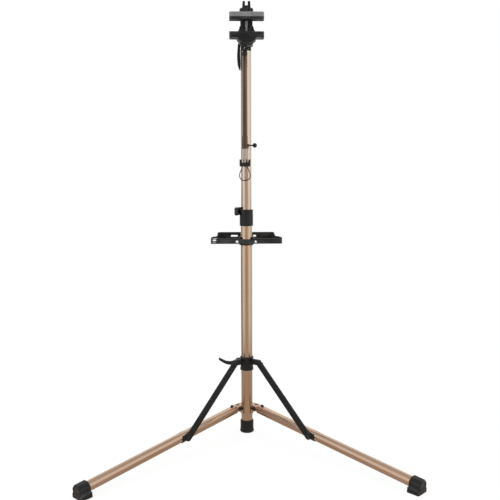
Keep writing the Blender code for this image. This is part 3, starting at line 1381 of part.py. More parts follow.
def build_knob(slide):
    turn = pivot("clamp_knob_pivot", Matrix.Translation((0, SCREW_Y, UPPER_JAW_TOP + FIT)), slide)
    steps = KNOB_LOBES * 6
    outline = []
    for i in range(steps):
        angle = 2 * math.pi * i / steps
        radius = KNOB_RADIUS + KNOB_LOBE_DEPTH * math.cos(KNOB_LOBES * angle)
        outline.append((radius * math.cos(angle), radius * math.sin(angle)))
    knob = plate("clamp_knob", outline, KNOB_HEIGHT, PLASTIC)
    put(knob, facing_up(KNOB_HEIGHT / 2), turn)
    pin_height = KNOB_HEIGHT + HANDLE_PIN_HEIGHT
    ear_base = KNOB_HEIGHT - 2 * SLIVER
    ear_top = KNOB_HEIGHT + KNOB_EAR_HEIGHT
    for side in (-1, 1):
        outline = [
            (side * KNOB_EAR_INNER, ear_base),
            (side * KNOB_EAR_OUTER, ear_base),
            (side * KNOB_EAR_TIP[1], ear_top),
            (side * KNOB_EAR_TIP[0], ear_top),
        ]
        ear = plate("knob_ear", outline, KNOB_EAR_DEPTH, None, SLIVER)
        join(knob, put(ear, facing_front(0), turn))
    drill(knob, SCREW_RADIUS + FIT, (0, 0, -SLIVER), (0, 0, SCREW_IN_KNOB + FIT), turn)
    ear_face = KNOB_EAR_TIP[1]
    reach = KNOB_EAR_OUTER + SLIVER
    drill(knob, LEVER_PIN_RADIUS + FIT, (-reach, 0, pin_height), (reach, 0, pin_height), turn, 16)

    screw_length = UPPER_JAW_TOP + FIT - SCREW_BASE
    screw = cylinder("clamp_screw", SCREW_RADIUS, -screw_length, SCREW_IN_KNOB, STEEL, 24)
    put(screw, Matrix(), turn)
    pin = cylinder("knob_handle_pin", LEVER_PIN_RADIUS, -ear_face + SLIVER, ear_face - SLIVER, STEEL, 16)
    put(pin, aim((0, 0, pin_height), RIGHT), turn)

    fold = pivot("knob_handle_pivot", Matrix.Translation((0, 0, pin_height)), turn)
    width = 2 * (KNOB_EAR_INNER - FIT)
    bend = (HANDLE_REACH * 0.6, 0.0015)
    outline = blade((0, 0), bend, (HANDLE_REACH - 0.004, -0.001), HANDLE_EYE, 0.004)
    handle = plate("knob_handle", outline, width, PLASTIC, 0.001)
    put(handle, SIDE_VIEW, fold)
    drill(handle, LEVER_PIN_RADIUS + FIT, (-width, 0, 0), (width, 0, 0), fold, 16)


# Support rod


def rod_place(height):
    return Matrix.Translation((ROD_X, ROD_Y, height))


def build_rod(upper):
    rod_tube = tube("rod_outer_tube", ROD_RADIUS - ROD_WALL, ROD_RADIUS, ROD_BASE, ROD_TOP, BRONZE, 28)
    put(rod_tube, rod_place(0), upper)

    cap_radius = ROD_RADIUS + FIT + ROD_CAP_WALL
    socket_top = ROD_TOP + FIT
    cap_profile = [
        (0.0, socket_top),
        (ROD_RADIUS + FIT, socket_top),
        (ROD_RADIUS + FIT, ROD_CAP_BASE),
        (cap_radius, ROD_CAP_BASE),
        (cap_radius, ROD_CAP_TOP - 4 * SLIVER),
        (ROD_EYE_RADIUS, ROD_CAP_TOP),
        (0.0, ROD_CAP_TOP),
    ]
    cap = turned("rod_top_fitting", cap_profile[::-1], PLASTIC, 28)
    put(cap, rod_place(0), upper)
    eye = plate(
        "rod_eye",
        capsule((0, ROD_CAP_TOP - SLIVER), (0, ROD_EYE_HEIGHT), ROD_EYE_RADIUS),
        ROD_EYE_THICKNESS,
    )
    trim = cylinder("rod_eye_trim", 2 * cap_radius, ROD_CAP_BASE - ROD_EYE_RADIUS, socket_top + SLIVER)
    cut(eye, put(trim, rod_place(0)))
    join(cap, put(eye, rod_place(0) @ FRONT_VIEW, upper))
    drill(
        cap,
        ROD_EYE_HOLE,
        (ROD_X, ROD_Y - ROD_EYE_THICKNESS, ROD_EYE_HEIGHT),
        (ROD_X, ROD_Y + ROD_EYE_THICKNESS, ROD_EYE_HEIGHT),
        upper,
    )

    hook_end = ROD_Y - ROD_EYE_THICKNESS / 2 - 2.2 * HOOK_RADIUS
    hook_points = [
        (ROD_X, -INNER_TUBE_RADIUS - 2 * FIT, HOOK_HEIGHT),
        (ROD_X, hook_end + 2 * HOOK_RADIUS, HOOK_HEIGHT),
        (ROD_X, hook_end + HOOK_RADIUS * 0.6, HOOK_HEIGHT + HOOK_RADIUS * 0.6),
        (ROD_X, hook_end, HOOK_HEIGHT + 2 * HOOK_RADIUS),
        (ROD_X, hook_end, HOOK_HEIGHT + HOOK_LIP),
    ]
    put(wire("rod_hook", hook_points, HOOK_RADIUS, STEEL), Matrix(), upper)

    collar_bore = ROD_RADIUS + FIT
    lip_bore = ROD_INNER_RADIUS + FIT
    collar_radius = collar_bore + ROD_COLLAR_WALL
    seat = ROD_BASE - FIT
    collar_profile = [
        (lip_bore, ROD_COLLAR_BASE),
        (lip_bore, seat),
        (collar_bore, seat),
        (collar_bore, ROD_COLLAR_TOP),
        (collar_radius, ROD_COLLAR_TOP),
        (collar_radius, ROD_COLLAR_BASE),
    ]
    collar = turned("rod_collar", collar_profile, BRONZE, 28)
    put(collar, rod_place(0), upper)
    boss_root = collar_bore + ROD_COLLAR_WALL / 2
    boss = cylinder("thumb_boss", THUMB_BOSS_RADIUS, boss_root, THUMB_BOSS_REACH - ROD_X)
    join(collar, put(boss, aim((ROD_X, ROD_Y, THUMBSCREW_HEIGHT), RIGHT), upper))
    for part in (collar, rod_tube):
        drill(
            part,
            THUMBSCREW_RADIUS + FIT,
            (ROD_X, ROD_Y, THUMBSCREW_HEIGHT),
            (THUMBSCREW_BALL_X, ROD_Y, THUMBSCREW_HEIGHT),
            upper,
        )
    build_thumbscrew(upper, lip_bore)
    build_rod_end(upper)


def build_thumbscrew(upper, tip):
    """Ball-headed screw along X that bears on the inner rod."""
    screw = pivot("thumbscrew_pivot", aim((ROD_X, ROD_Y, THUMBSCREW_HEIGHT), RIGHT), upper)
    centre = THUMBSCREW_BALL_X - ROD_X
    start = math.asin(THUMBSCREW_RADIUS / THUMBSCREW_BALL)
    ball = arc((0, centre), THUMBSCREW_BALL, math.pi / 2, -math.pi / 2 + start, 10)
    profile = [(0.0, ball[0][1]), *ball[1:], (THUMBSCREW_RADIUS, tip), (0.0, tip)]
    put(turned("rod_thumbscrew", profile, PLASTIC, 20), Matrix(), screw)


def build_rod_end(upper):
    slide = pivot("rod_slide_pivot", Matrix(), upper)
    bore = ROD_INNER_RADIUS - ROD_WALL
    inner = tube("rod_inner_tube", bore, ROD_INNER_RADIUS, ROD_INNER_BASE, ROD_INNER_TOP, SILVER, 24)
    put(inner, rod_place(0), slide)
    corners = [
        (-CRADLE_HALF_WIDTH, CRADLE_BASE),
        (CRADLE_HALF_WIDTH, CRADLE_BASE),
        (CRADLE_HALF_WIDTH, CRADLE_EAR_TOP),
        (CRADLE_EAR_PLACE, CRADLE_EAR_TOP),
        (CRADLE_EAR_PLACE - CRADLE_EAR_WIDTH / 2, CRADLE_TOP),
        (-CRADLE_EAR_PLACE + CRADLE_EAR_WIDTH / 2, CRADLE_TOP),
        (-CRADLE_EAR_PLACE, CRADLE_EAR_TOP),
        (-CRADLE_HALF_WIDTH, CRADLE_EAR_TOP),
    ]
    cradle = plate("rod_cradle", rounded(corners, CRADLE_EAR_WIDTH * 0.4, 3), CRADLE_THICKNESS, PLASTIC)
    put(cradle, rod_place(0) @ FRONT_VIEW, slide)
    drill(
        cradle,
        ROD_INNER_RADIUS + FIT,
        (ROD_X, ROD_Y, ROD_INNER_BASE - FIT),
        (ROD_X, ROD_Y, CRADLE_EAR_TOP + SLIVER),
        slide,
        24,
    )
    cord = wire("rod_cord_loop", smooth_route(CORD_ROUTE, CORD_STEPS), CORD_RADIUS, RUBBER)
    put(cord, rod_place(0), slide)


def smooth_route(route, steps):
    """Points of a smooth curve through the route, in the plane of the rod's front view."""
    ends = [route[0], *route, route[-1]]
    points = []
    for i in range(1, len(ends) - 2):
        before, start, end, after = (Vector(p) for p in ends[i - 1 : i + 3])
        for k in range(steps):
            t = k / steps
            bend = 2 * before - 5 * start + 4 * end - after
            turn = 3 * start - before - 3 * end + after
            place = start + ((end - before) * t + bend * t * t + turn * t**3) / 2
            points.append((place.x, 0.0, place.y))
    points.append((route[-1][0], 0.0, route[-1][1]))
    return points


def bake_parts():
    """Turns every part's modifiers into its mesh, with round faces shaded smooth, and drops the cutters."""
    bpy.context.view_layer.update()
    graph = bpy.context.evaluated_depsgraph_get()
    parts = [part for part in PARTS.objects if part.type == "MESH"]
    baked = [bpy.data.meshes.new_from_object(part.evaluated_get(graph)) for part in parts]
    for part, mesh in zip(parts, baked):
        part.modifiers.clear()
        part.data = mesh
        mesh.name = part.name
        mesh.shade_smooth()
        mesh.set_sharp_from_angle(angle=math.radians(35))
    for tool in list(TOOLS.objects):
        bpy.data.objects.remove(tool)


def main():
    upper = pivot("mast_upper_pivot", Matrix())
    build_mast_tubes(upper)
    build_mast_foot()
    build_hub()
    for side, label in ((-1, "left"), (1, "right")):
        leg = build_leg(side, label)
        build_strut(side, label, leg)
    build_slider()
    build_mast_clamp()
    build_tray()
    build_yoke(upper)
    tilt = build_arm(upper)
    head = build_clamp_body(tilt)
    slide = build_upper_jaw(head)
    build_knob(slide)
    build_rod(upper)
    bake_parts()


main()
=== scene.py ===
# %% [markdown]
# This lesson dresses a bicycle repair stand: champagne-coloured aluminium tubes, black plastic fittings,
# rubber boots and a grey casting in the clamp head. The solid model is loaded as a fixed frame, and each
# piece that is made here rides on one of its bodies.

# %% Load the solid model
import json
import math

import bmesh
import bpy
from mathutils import Matrix, Vector


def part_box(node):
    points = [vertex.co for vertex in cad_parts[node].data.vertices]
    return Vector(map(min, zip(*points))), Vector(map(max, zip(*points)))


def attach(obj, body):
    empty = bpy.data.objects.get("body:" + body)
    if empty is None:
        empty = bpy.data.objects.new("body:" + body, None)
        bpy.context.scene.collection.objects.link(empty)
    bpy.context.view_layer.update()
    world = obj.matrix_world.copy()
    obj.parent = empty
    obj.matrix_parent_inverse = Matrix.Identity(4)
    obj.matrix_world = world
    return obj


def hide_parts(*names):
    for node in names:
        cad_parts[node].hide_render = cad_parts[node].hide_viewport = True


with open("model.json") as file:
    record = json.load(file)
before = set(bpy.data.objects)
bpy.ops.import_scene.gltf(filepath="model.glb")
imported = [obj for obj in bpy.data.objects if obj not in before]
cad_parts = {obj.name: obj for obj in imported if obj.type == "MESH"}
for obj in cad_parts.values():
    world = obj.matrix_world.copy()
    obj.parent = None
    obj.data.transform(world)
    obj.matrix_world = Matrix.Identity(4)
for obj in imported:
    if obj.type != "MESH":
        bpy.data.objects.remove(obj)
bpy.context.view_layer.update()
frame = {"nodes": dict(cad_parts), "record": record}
nodes = frame["nodes"]
print("nodes loaded:", len(nodes))

# %% [markdown]
# The camera stands a little to the left of the stand and looks slightly down, at about two metres. Its
# place was found by matching the mast, the feet and the head with the picture, so the lens and the distance
# give the same spread of the legs.

# %% Camera
CAMERA_PLACE = (-0.0472, -2.169, 0.8657)
CAMERA_YAW = math.radians(1.56)
CAMERA_PITCH = math.radians(-6.20)
CAMERA_ROLL = math.radians(-0.14)
CAMERA_LENS = 46.7
SENSOR_WIDTH = 36.0

ahead = Vector((
    math.sin(CAMERA_YAW) * math.cos(CAMERA_PITCH),
    math.cos(CAMERA_YAW) * math.cos(CAMERA_PITCH),
    math.sin(CAMERA_PITCH),
))
across = Vector((math.cos(CAMERA_YAW), -math.sin(CAMERA_YAW), 0.0))
upward = across.cross(ahead)
rolled_across = across * math.cos(CAMERA_ROLL) + upward * math.sin(CAMERA_ROLL)
rolled_upward = upward * math.cos(CAMERA_ROLL) - across * math.sin(CAMERA_ROLL)
camera_turn = Matrix((rolled_across, rolled_upward, -ahead)).transposed().to_4x4()
camera_data = bpy.data.cameras.new("studio_camera")
camera_data.lens = CAMERA_LENS
camera_data.sensor_width = SENSOR_WIDTH
camera = bpy.data.objects.new("studio_camera", camera_data)
camera.matrix_world = Matrix.Translation(CAMERA_PLACE) @ camera_turn
bpy.context.scene.collection.objects.link(camera)
bpy.context.scene.camera = camera
print("camera lens:", CAMERA_LENS, "mm")

# %% [markdown]
# The light of the studio and every finish are node trees. A few small helpers keep them short: one does a
# sum, one fades from one value to another, one splits a place into X, Y and Z, and one tells where a ray of
# light is seen from.

# %% Helpers for nodes


def add_math(tree, operation, first, second):
    """A Math node on two inputs, each a socket or a number."""
    node = tree.nodes.new("ShaderNodeMath")
    node.operation = operation
    for socket, value in zip(node.inputs, (first, second)):
        if isinstance(value, float):
            socket.default_value = value
        else:
            tree.links.new(value, socket)
    return node.outputs[0]


def fade(tree, value, edge, low, high):
    """Smooth change from low to high while the value crosses the edge, from its start to its end."""
    ramp = tree.nodes.new("ShaderNodeMapRange")
    ramp.interpolation_type = "SMOOTHSTEP"
    ramp.inputs["From Min"].default_value = edge[0]
    ramp.inputs["From Max"].default_value = edge[1]
    ramp.inputs["To Min"].default_value = low
    ramp.inputs["To Max"].default_value = high
    tree.links.new(value, ramp.inputs["Value"])
    return ramp.outputs["Result"]


def split_place(tree, output):
    """X, Y and Z of one kind of texture coordinate."""
    where = tree.nodes.new("ShaderNodeTexCoord")
    parts = tree.nodes.new("ShaderNodeSeparateXYZ")
    tree.links.new(where.outputs[output], parts.inputs[0])
    return parts.outputs


def ray_kinds(tree):
    """Whether a ray is seen in a shiny surface, and whether it is seen by the camera."""
    ray = tree.nodes.new("ShaderNodeLightPath")
    shiny = add_math(tree, "MAXIMUM", ray.outputs["Is Glossy Ray"], ray.outputs["Is Transmission Ray"])
    return shiny, ray.outputs["Is Camera Ray"]


# %% [markdown]
# The studio is white all round where the camera looks, and polished metal shows that white too. The room
# behind the camera is dim and warm, which gives every tube its brown middle between two bright bands. A
# grey flag stands at each side, behind the stand, and draws the darker line along that edge of the mast; the
# left one is darker. The ceiling is a little dimmer too, so a leg has a bright line between its top and its
# underside. Matt surfaces get a gentler light than that white, so nothing clips. A picture of a room could
# light the stand as well, but a few fades in the world's nodes need no file and are easy to move.

# %% White studio
WHITE = (1.0, 1.0, 1.0, 1.0)
WARM_ROOM = (1.0, 0.81, 0.68, 1.0)
SOFT_LIGHT = 0.50
FRONT_LIGHT = 0.47
FRONT_EDGE = (-1.0, -0.65)
CEILING_LIGHT = 0.58
CEILING_EDGE = (0.70, 0.88)
FLAG_SHADE = 0.75
RIGHT_FLAG_SHARE = 0.40
ROOM_FLAG_EDGE = (0.5, 0.9)
BACK_FLAG_EDGE = (-0.15, 0.25)


def warm_tone(tree, share):
    """White that turns to the tone of the warm room as the share goes from 0 to 1."""
    blend = tree.nodes.new("ShaderNodeMix")
    blend.data_type = "RGBA"
    blend.inputs["A"].default_value = WHITE
    blend.inputs["B"].default_value = WARM_ROOM
    tree.links.new(share, blend.inputs["Factor"])
    return blend.outputs["Result"]


def front_dimming(tree, front):
    """Light that falls from white to that of the dim room as the front goes from 0 to 1."""
    return add_math(tree, "SUBTRACT", 1.0, add_math(tree, "MULTIPLY", front, 1.0 - FRONT_LIGHT))


def flag_dimming(tree, sideways, backward, edge):
    """Light left by the flags: each one starts and ends at the edge sideways, and both stand backward."""
    inner, outer = edge
    left = fade(tree, sideways, (-outer, -inner), 1.0, 0.0)
    right = fade(tree, sideways, (inner, outer), 0.0, RIGHT_FLAG_SHARE)
    behind = fade(tree, backward, BACK_FLAG_EDGE, 0.0, 1.0)
    shaded = add_math(tree, "MULTIPLY", add_math(tree, "MAXIMUM", left, right), behind)
    return add_math(tree, "SUBTRACT", 1.0, add_math(tree, "MULTIPLY", shaded, FLAG_SHADE))


bpy.context.scene.view_settings.view_transform = "Standard"
world = bpy.data.worlds.new("white_studio")
bpy.context.scene.world = world
world.use_nodes = True
tree = world.node_tree
tree.nodes.clear()
shiny, seen = ray_kinds(tree)
facing = split_place(tree, "Generated")
front = fade(tree, facing["Y"], FRONT_EDGE, 1.0, 0.0)
ceiling = fade(tree, facing["Z"], CEILING_EDGE, 1.0, CEILING_LIGHT)
flags = flag_dimming(tree, facing["X"], facing["Y"], ROOM_FLAG_EDGE)
dimmed = add_math(tree, "MULTIPLY", front_dimming(tree, front), ceiling)
mirrored = add_math(tree, "MULTIPLY", dimmed, flags)
gain = add_math(tree, "SUBTRACT", mirrored, SOFT_LIGHT)
unseen = add_math(tree, "ADD", add_math(tree, "MULTIPLY", gain, shiny), SOFT_LIGHT)
sky = tree.nodes.new("ShaderNodeBackground")
out = tree.nodes.new("ShaderNodeOutputWorld")
tree.links.new(warm_tone(tree, add_math(tree, "MULTIPLY", front, shiny)), sky.inputs["Color"])
tree.links.new(add_math(tree, "MAXIMUM", unseen, seen), sky.inputs["Strength"])
tree.links.new(sky.outputs[0], out.inputs[0])
print("studio light on matt surfaces:", SOFT_LIGHT)

# %% [markdown]
# Two large lamps add soft light from the left and the right of the camera. They are left out of the
# reflections, where the white room is bright enough.

# %% Side lamps
LAMP_SIDE = 2.4
LAMP_FORWARD = 1.6
LAMP_HEIGHT = 1.5
LAMP_AIM = Vector((0, 0, 0.7))
LAMP_SIZE = (1.2, 2.6)
LAMP_WATTS = 10

for name, sign in (("left_lamp", -1), ("right_lamp", 1)):
    lamp_data = bpy.data.lights.new(name, "AREA")
    lamp_data.shape = "RECTANGLE"
    lamp_data.size = LAMP_SIZE[0]
    lamp_data.size_y = LAMP_SIZE[1]
    lamp_data.energy = LAMP_WATTS
    lamp = bpy.data.objects.new(name, lamp_data)
    place = Vector((sign * LAMP_SIDE, -LAMP_FORWARD, LAMP_HEIGHT))
    lamp_turn = (LAMP_AIM - place).to_track_quat("-Z", "Y").to_matrix().to_4x4()
    lamp.matrix_world = Matrix.Translation(place) @ lamp_turn
    lamp.visible_glossy = False
    bpy.context.scene.collection.objects.link(lamp)
    print(name, LAMP_WATTS, "W")

# %% [markdown]
# The floor is white to the camera and keeps the soft shadow of the stand. In polished metal it is mirrored
# dimmer and warmer near the stand, which shades the undersides of the legs. A share of matt white carries
# the shadow, and a share of glow keeps the floor as white as the room, so no horizon shows.

# %% Floor finish
FLOOR_MATT = (0.92, 0.92, 0.92, 1.0)
FLOOR_GLOW = 0.80
FLOOR_WHITE = 1.135
NEAR_EDGE = (0.3, 1.6)
FAR_LIGHT = 0.96
NEAR_LOSS = 0.48
FLOOR_FLAG_EDGE = (0.2, 1.0)

floor_finish = bpy.data.materials.new("pale_floor")
floor_finish.use_nodes = True
tree = floor_finish.node_tree
tree.nodes.clear()
shiny, seen = ray_kinds(tree)
spot = split_place(tree, "Object")
where = tree.nodes.new("ShaderNodeTexCoord")
reach = tree.nodes.new("ShaderNodeVectorMath")
reach.operation = "LENGTH"
tree.links.new(where.outputs["Object"], reach.inputs[0])
distance = reach.outputs["Value"]
near = fade(tree, distance, NEAR_EDGE, 1.0, 0.0)
near_light = add_math(tree, "SUBTRACT", FAR_LIGHT, add_math(tree, "MULTIPLY", near, NEAR_LOSS))
front = fade(tree, add_math(tree, "DIVIDE", spot["Y"], distance), FRONT_EDGE, 1.0, 0.0)
flags = flag_dimming(tree, spot["X"], spot["Y"], FLOOR_FLAG_EDGE)
dimmed = add_math(tree, "MINIMUM", near_light, front_dimming(tree, front))
mirrored = add_math(tree, "MULTIPLY", dimmed, flags)
unseen = add_math(tree, "SUBTRACT", 1.0, seen)
warmth = add_math(tree, "MULTIPLY", add_math(tree, "MAXIMUM", front, near), unseen)
strength = add_math(tree, "MAXIMUM", mirrored, add_math(tree, "MULTIPLY", seen, FLOOR_WHITE))
glow = tree.nodes.new("ShaderNodeEmission")
tree.links.new(warm_tone(tree, warmth), glow.inputs["Color"])
tree.links.new(strength, glow.inputs["Strength"])
matt = tree.nodes.new("ShaderNodeBsdfDiffuse")
matt.inputs["Color"].default_value = FLOOR_MATT
mix = tree.nodes.new("ShaderNodeMixShader")
out = tree.nodes.new("ShaderNodeOutputMaterial")
share = add_math(tree, "MULTIPLY", add_math(tree, "MAXIMUM", shiny, seen), FLOOR_GLOW)
tree.links.new(share, mix.inputs[0])
tree.links.new(matt.outputs[0], mix.inputs[1])
tree.links.new(glow.outputs[0], mix.inputs[2])
tree.links.new(mix.outputs[0], out.inputs[0])
print("floor's white to the camera:", FLOOR_WHITE)

# %% [markdown]
# The floor itself is one wide plane. It lies a hair below the feet, so the two never share a face.

# %% Floor
FLOOR_SIZE = 24.0
FLOOR_DROP = 0.0005

bpy.ops.object.select_all(action="DESELECT")
bpy.ops.mesh.primitive_plane_add(size=FLOOR_SIZE, location=(0, 0, 0))
floor = bpy.context.object
floor.name = "studio_floor"
floor.data.transform(Matrix.Translation((0, 0, -FLOOR_DROP)))
floor.data.materials.append(floor_finish)
print("floor:", FLOOR_SIZE, "m wide")

# %% [markdown]
# Every finish is built from nodes on Object coordinates, so the pattern stays with the piece. The helpers
# here start a finish, place and add a noise, turn it into a colour between two tones or into a range of
# numbers, and press it into the surface as a bump.

# %% Helpers for finishes
NOISE_MIDDLE = (0.3, 0.7)
FINE_DETAIL = 2.0


def start_finish(name, roughness, metallic=0.0):
    made = bpy.data.materials.new(name)
    made.use_nodes = True
    shader = made.node_tree.nodes["Principled BSDF"]
    shader.inputs["Roughness"].default_value = roughness
    shader.inputs["Metallic"].default_value = metallic
    return made, made.node_tree, shader


def pattern_place(tree, turn=(0, 0, 0), stretch=(1, 1, 1)):
    """Object coordinates, turned and then stretched for a pattern with a direction."""
    where = tree.nodes.new("ShaderNodeTexCoord")
    first = tree.nodes.new("ShaderNodeMapping")
    first.inputs["Rotation"].default_value = turn
    second = tree.nodes.new("ShaderNodeMapping")
    second.inputs["Scale"].default_value = stretch
    tree.links.new(where.outputs["Object"], first.inputs["Vector"])
    tree.links.new(first.outputs["Vector"], second.inputs["Vector"])
    return second.outputs["Vector"]


def add_noise(tree, place, scale, detail):
    noise = tree.nodes.new("ShaderNodeTexNoise")
    noise.inputs["Scale"].default_value = scale
    noise.inputs["Detail"].default_value = detail
    tree.links.new(place, noise.inputs["Vector"])
    return noise.outputs["Fac"]


def two_tones(tree, value, dark, light):
    """Colour that goes from dark to light over the middle of a noise."""
    ramp = tree.nodes.new("ShaderNodeValToRGB")
    for step, position, tone in zip(ramp.color_ramp.elements, NOISE_MIDDLE, (dark, light)):
        step.position = position
        step.color = (*tone, 1.0)
    tree.links.new(value, ramp.inputs["Fac"])
    return ramp.outputs["Color"]


def spread(tree, value, low, high):
    """Number that goes from low to high over the middle of a noise."""
    stretch = tree.nodes.new("ShaderNodeMapRange")
    stretch.inputs["From Min"].default_value = NOISE_MIDDLE[0]
    stretch.inputs["From Max"].default_value = NOISE_MIDDLE[1]
    stretch.inputs["To Min"].default_value = low
    stretch.inputs["To Max"].default_value = high
    tree.links.new(value, stretch.inputs["Value"])
    return stretch.outputs["Result"]


def press(tree, shader, value, strength, depth):
    bump = tree.nodes.new("ShaderNodeBump")
    bump.inputs["Strength"].default_value = strength
    bump.inputs["Distance"].default_value = depth
    tree.links.new(value, bump.inputs["Height"])
    tree.links.new(bump.outputs["Normal"], shader.inputs["Normal"])


# %% [markdown]
# The tubes are drawn aluminium, anodised in champagne gold. Drawing leaves faint die lines along each tube,
# so a noise is stretched along it and moves the gloss a little. A cloudy noise stands for the uneven
# anodising, in the colour. Each leg has its own direction, so it has its own finish.

# %% Tube finishes
DIE_LINES = 420.0
DIE_LINE_STRETCH = (1.0, 1.0, 0.004)
DIE_LINE_GLOSS = 0.02
CLOUDS = 18.0
CLOUD_DETAIL = 3.0
CLOUD_STRETCH = (1.0, 1.0, 0.30)
LEG_SPREAD = math.radians(43.6)
LEG_REACH = 0.6230
LEG_FALL = 0.0620
GOLD_LIGHT = (0.660, 0.495, 0.360)
GOLD_DARK = (0.635, 0.470, 0.336)
LEG_LIGHT = (0.630, 0.445, 0.325)
LEG_DARK = (0.605, 0.422, 0.303)
PALE_LIGHT = (0.755, 0.610, 0.500)
PALE_DARK = (0.730, 0.585, 0.475)
BRONZE_LIGHT = (0.170, 0.115, 0.090)
BRONZE_DARK = (0.125, 0.085, 0.065)
SILVER_LIGHT = (0.620, 0.575, 0.535)
SILVER_DARK = (0.500, 0.460, 0.420)
UP = Vector((0, 0, 1))


def tube_finish(name, axis, light, dark, roughness):
    turn = axis.rotation_difference(UP).to_euler()
    made, tree, shader = start_finish(name, roughness, 1.0)
    lines = add_noise(tree, pattern_place(tree, turn, DIE_LINE_STRETCH), DIE_LINES, FINE_DETAIL)
    clouds = add_noise(tree, pattern_place(tree, turn, CLOUD_STRETCH), CLOUDS, CLOUD_DETAIL)
    gloss = spread(tree, lines, roughness - DIE_LINE_GLOSS, roughness + DIE_LINE_GLOSS)
    tree.links.new(two_tones(tree, clouds, dark, light), shader.inputs["Base Color"])
    tree.links.new(gloss, shader.inputs["Roughness"])
    return made


leg_axes = {
    side: Vector((sign * math.sin(LEG_SPREAD), -math.cos(LEG_SPREAD), -LEG_FALL / LEG_REACH))
    for side, sign in (("left", -1), ("right", 1))
}
leg_gold = {
    side: tube_finish("leg_gold_" + side, axis, LEG_LIGHT, LEG_DARK, roughness=0.24)
    for side, axis in leg_axes.items()
}
lower_tube_gold = tube_finish("lower_tube_gold", UP, GOLD_LIGHT, GOLD_DARK, roughness=0.27)
upper_tube_gold = tube_finish("upper_tube_gold", UP, PALE_LIGHT, PALE_DARK, roughness=0.22)
rod_bronze = tube_finish("rod_bronze", UP, BRONZE_LIGHT, BRONZE_DARK, roughness=0.30)
rod_silver = tube_finish("rod_silver", UP, SILVER_LIGHT, SILVER_DARK, roughness=0.26)
print("tube finishes:", 4 + len(leg_gold))

# %% [markdown]
# The black pieces are of three kinds. Moulded plastic has a fine spark-eroded grain and a soft gloss. The
# struts, their bolts and the clamp body are powder coated, with a wider orange-peel ripple. Rubber has a
# dusty bloom in patches. All three stay just above pure black, as in daylight. Their edges are paler, partly
# for rubbed wear and partly as a painted highlight. The painted grey casting is made in the same way, with
# paler tones.

# %% Black and grey finishes
PATCHES = 35.0
PATCH_DETAIL = 4.0
PATCH_GLOSS = (-0.06, 0.08)
# Pointiness and patches that set the paler edges, partly rubbed wear and partly a painted highlight.
EDGE_POINTINESS = (0.52, 0.60)
WEAR_AND_HIGHLIGHT_PATCH = (0.35, 0.65)
LEAST_WEAR_AND_HIGHLIGHT = 0.3
GRAIN_STRENGTH = 0.35
COOL = 1.02


def moulded_finish(name, tones, roughness, gloss, grain, depth):
    """Dark and light tone in patches, a paler edge tone for rubbed wear and a painted highlight, and a fine
    grain pressed in.
    """
    dark, light, edge_wear_and_highlight = tones
    made, tree, shader = start_finish(name, roughness)
    shader.inputs["Specular IOR Level"].default_value = gloss
    where = pattern_place(tree)
    patches = add_noise(tree, where, PATCHES, PATCH_DETAIL)
    fine = add_noise(tree, where, grain, FINE_DETAIL)
    shape = tree.nodes.new("ShaderNodeNewGeometry")
    edges = fade(tree, shape.outputs["Pointiness"], EDGE_POINTINESS, 0.0, 1.0)
    # Paler edges: partly rubbed wear and partly a painted highlight, found by Pointiness and varied in
    # patches.
    wear_and_highlight_mask = add_math(tree, "MULTIPLY", edges, fade(tree, patches, WEAR_AND_HIGHLIGHT_PATCH, LEAST_WEAR_AND_HIGHLIGHT, 1.0))
    blend = tree.nodes.new("ShaderNodeMix")
    blend.data_type = "RGBA"
    blend.inputs["B"].default_value = (*edge_wear_and_highlight, 1.0)
    tree.links.new(wear_and_highlight_mask, blend.inputs["Factor"])
    tree.links.new(two_tones(tree, patches, dark, light), blend.inputs["A"])
    tree.links.new(blend.outputs["Result"], shader.inputs["Base Color"])
    dull = spread(tree, patches, roughness + PATCH_GLOSS[0], roughness + PATCH_GLOSS[1])
    tree.links.new(dull, shader.inputs["Roughness"])
    press(tree, shader, fine, GRAIN_STRENGTH, depth)
    return made


def grey(value):
    return (value, value, value * COOL)


# The third tone of each finish is its paler edge, partly rubbed wear and partly a painted highlight.
black_plastic = moulded_finish(
    "moulded_black_plastic",
    (grey(0.018), grey(0.028), grey(0.080)),
    roughness=0.38,
    gloss=0.26,
    grain=1800.0,
    depth=0.00008,
)
black_paint = moulded_finish(
    "black_powder_coat",
    (grey(0.017), grey(0.026), grey(0.080)),
    roughness=0.42,
    gloss=0.20,
    grain=700.0,
    depth=0.00010,
)
black_rubber = moulded_finish(
    "black_rubber_boot",
    (grey(0.013), grey(0.026), grey(0.110)),
    roughness=0.42,
    gloss=0.34,
    grain=1200.0,
    depth=0.00015,
)
grey_casting = moulded_finish(
    "grey_painted_casting",
    (grey(0.300), grey(0.400), grey(0.520)),
    roughness=0.45,
    gloss=0.50,
    grain=600.0,
    depth=0.00012,
)
print("black and grey finishes: 4")

# %% [markdown]
# Nuts, pins, skewers and the hub bolt are zinc-plated steel. The plating is slightly cloudy, so a soft noise
# moves its colour and gloss. The long clamp screw is greased and duller, so it mirrors less of the room.

# %% Steel finishes
PLATING_CLOUDS = 220.0
PLATING_DETAIL = 5.0
PLATING_GLOSS = (-0.08, 0.10)
PLATING_GRAIN = 900.0
PLATING_GRAIN_STRENGTH = 0.15
PLATING_GRAIN_DEPTH = 0.00004


def steel_finish(name, dark, light, roughness, metallic):
    made, tree, shader = start_finish(name, roughness, metallic)
    where = pattern_place(tree)
    cloud = add_noise(tree, where, PLATING_CLOUDS, PLATING_DETAIL)
    grain = add_noise(tree, where, PLATING_GRAIN, FINE_DETAIL)
    dull = spread(tree, cloud, roughness + PLATING_GLOSS[0], roughness + PLATING_GLOSS[1])
    tree.links.new(two_tones(tree, cloud, dark, light), shader.inputs["Base Color"])
    tree.links.new(dull, shader.inputs["Roughness"])
    press(tree, shader, grain, PLATING_GRAIN_STRENGTH, PLATING_GRAIN_DEPTH)
    return made


zinc_steel = steel_finish("zinc_steel", grey(0.42), grey(0.60), roughness=0.32, metallic=1.0)
greased_steel = steel_finish("greased_steel", grey(0.66), grey(0.82), roughness=0.48, metallic=0.2)
print("steel finishes: 2")
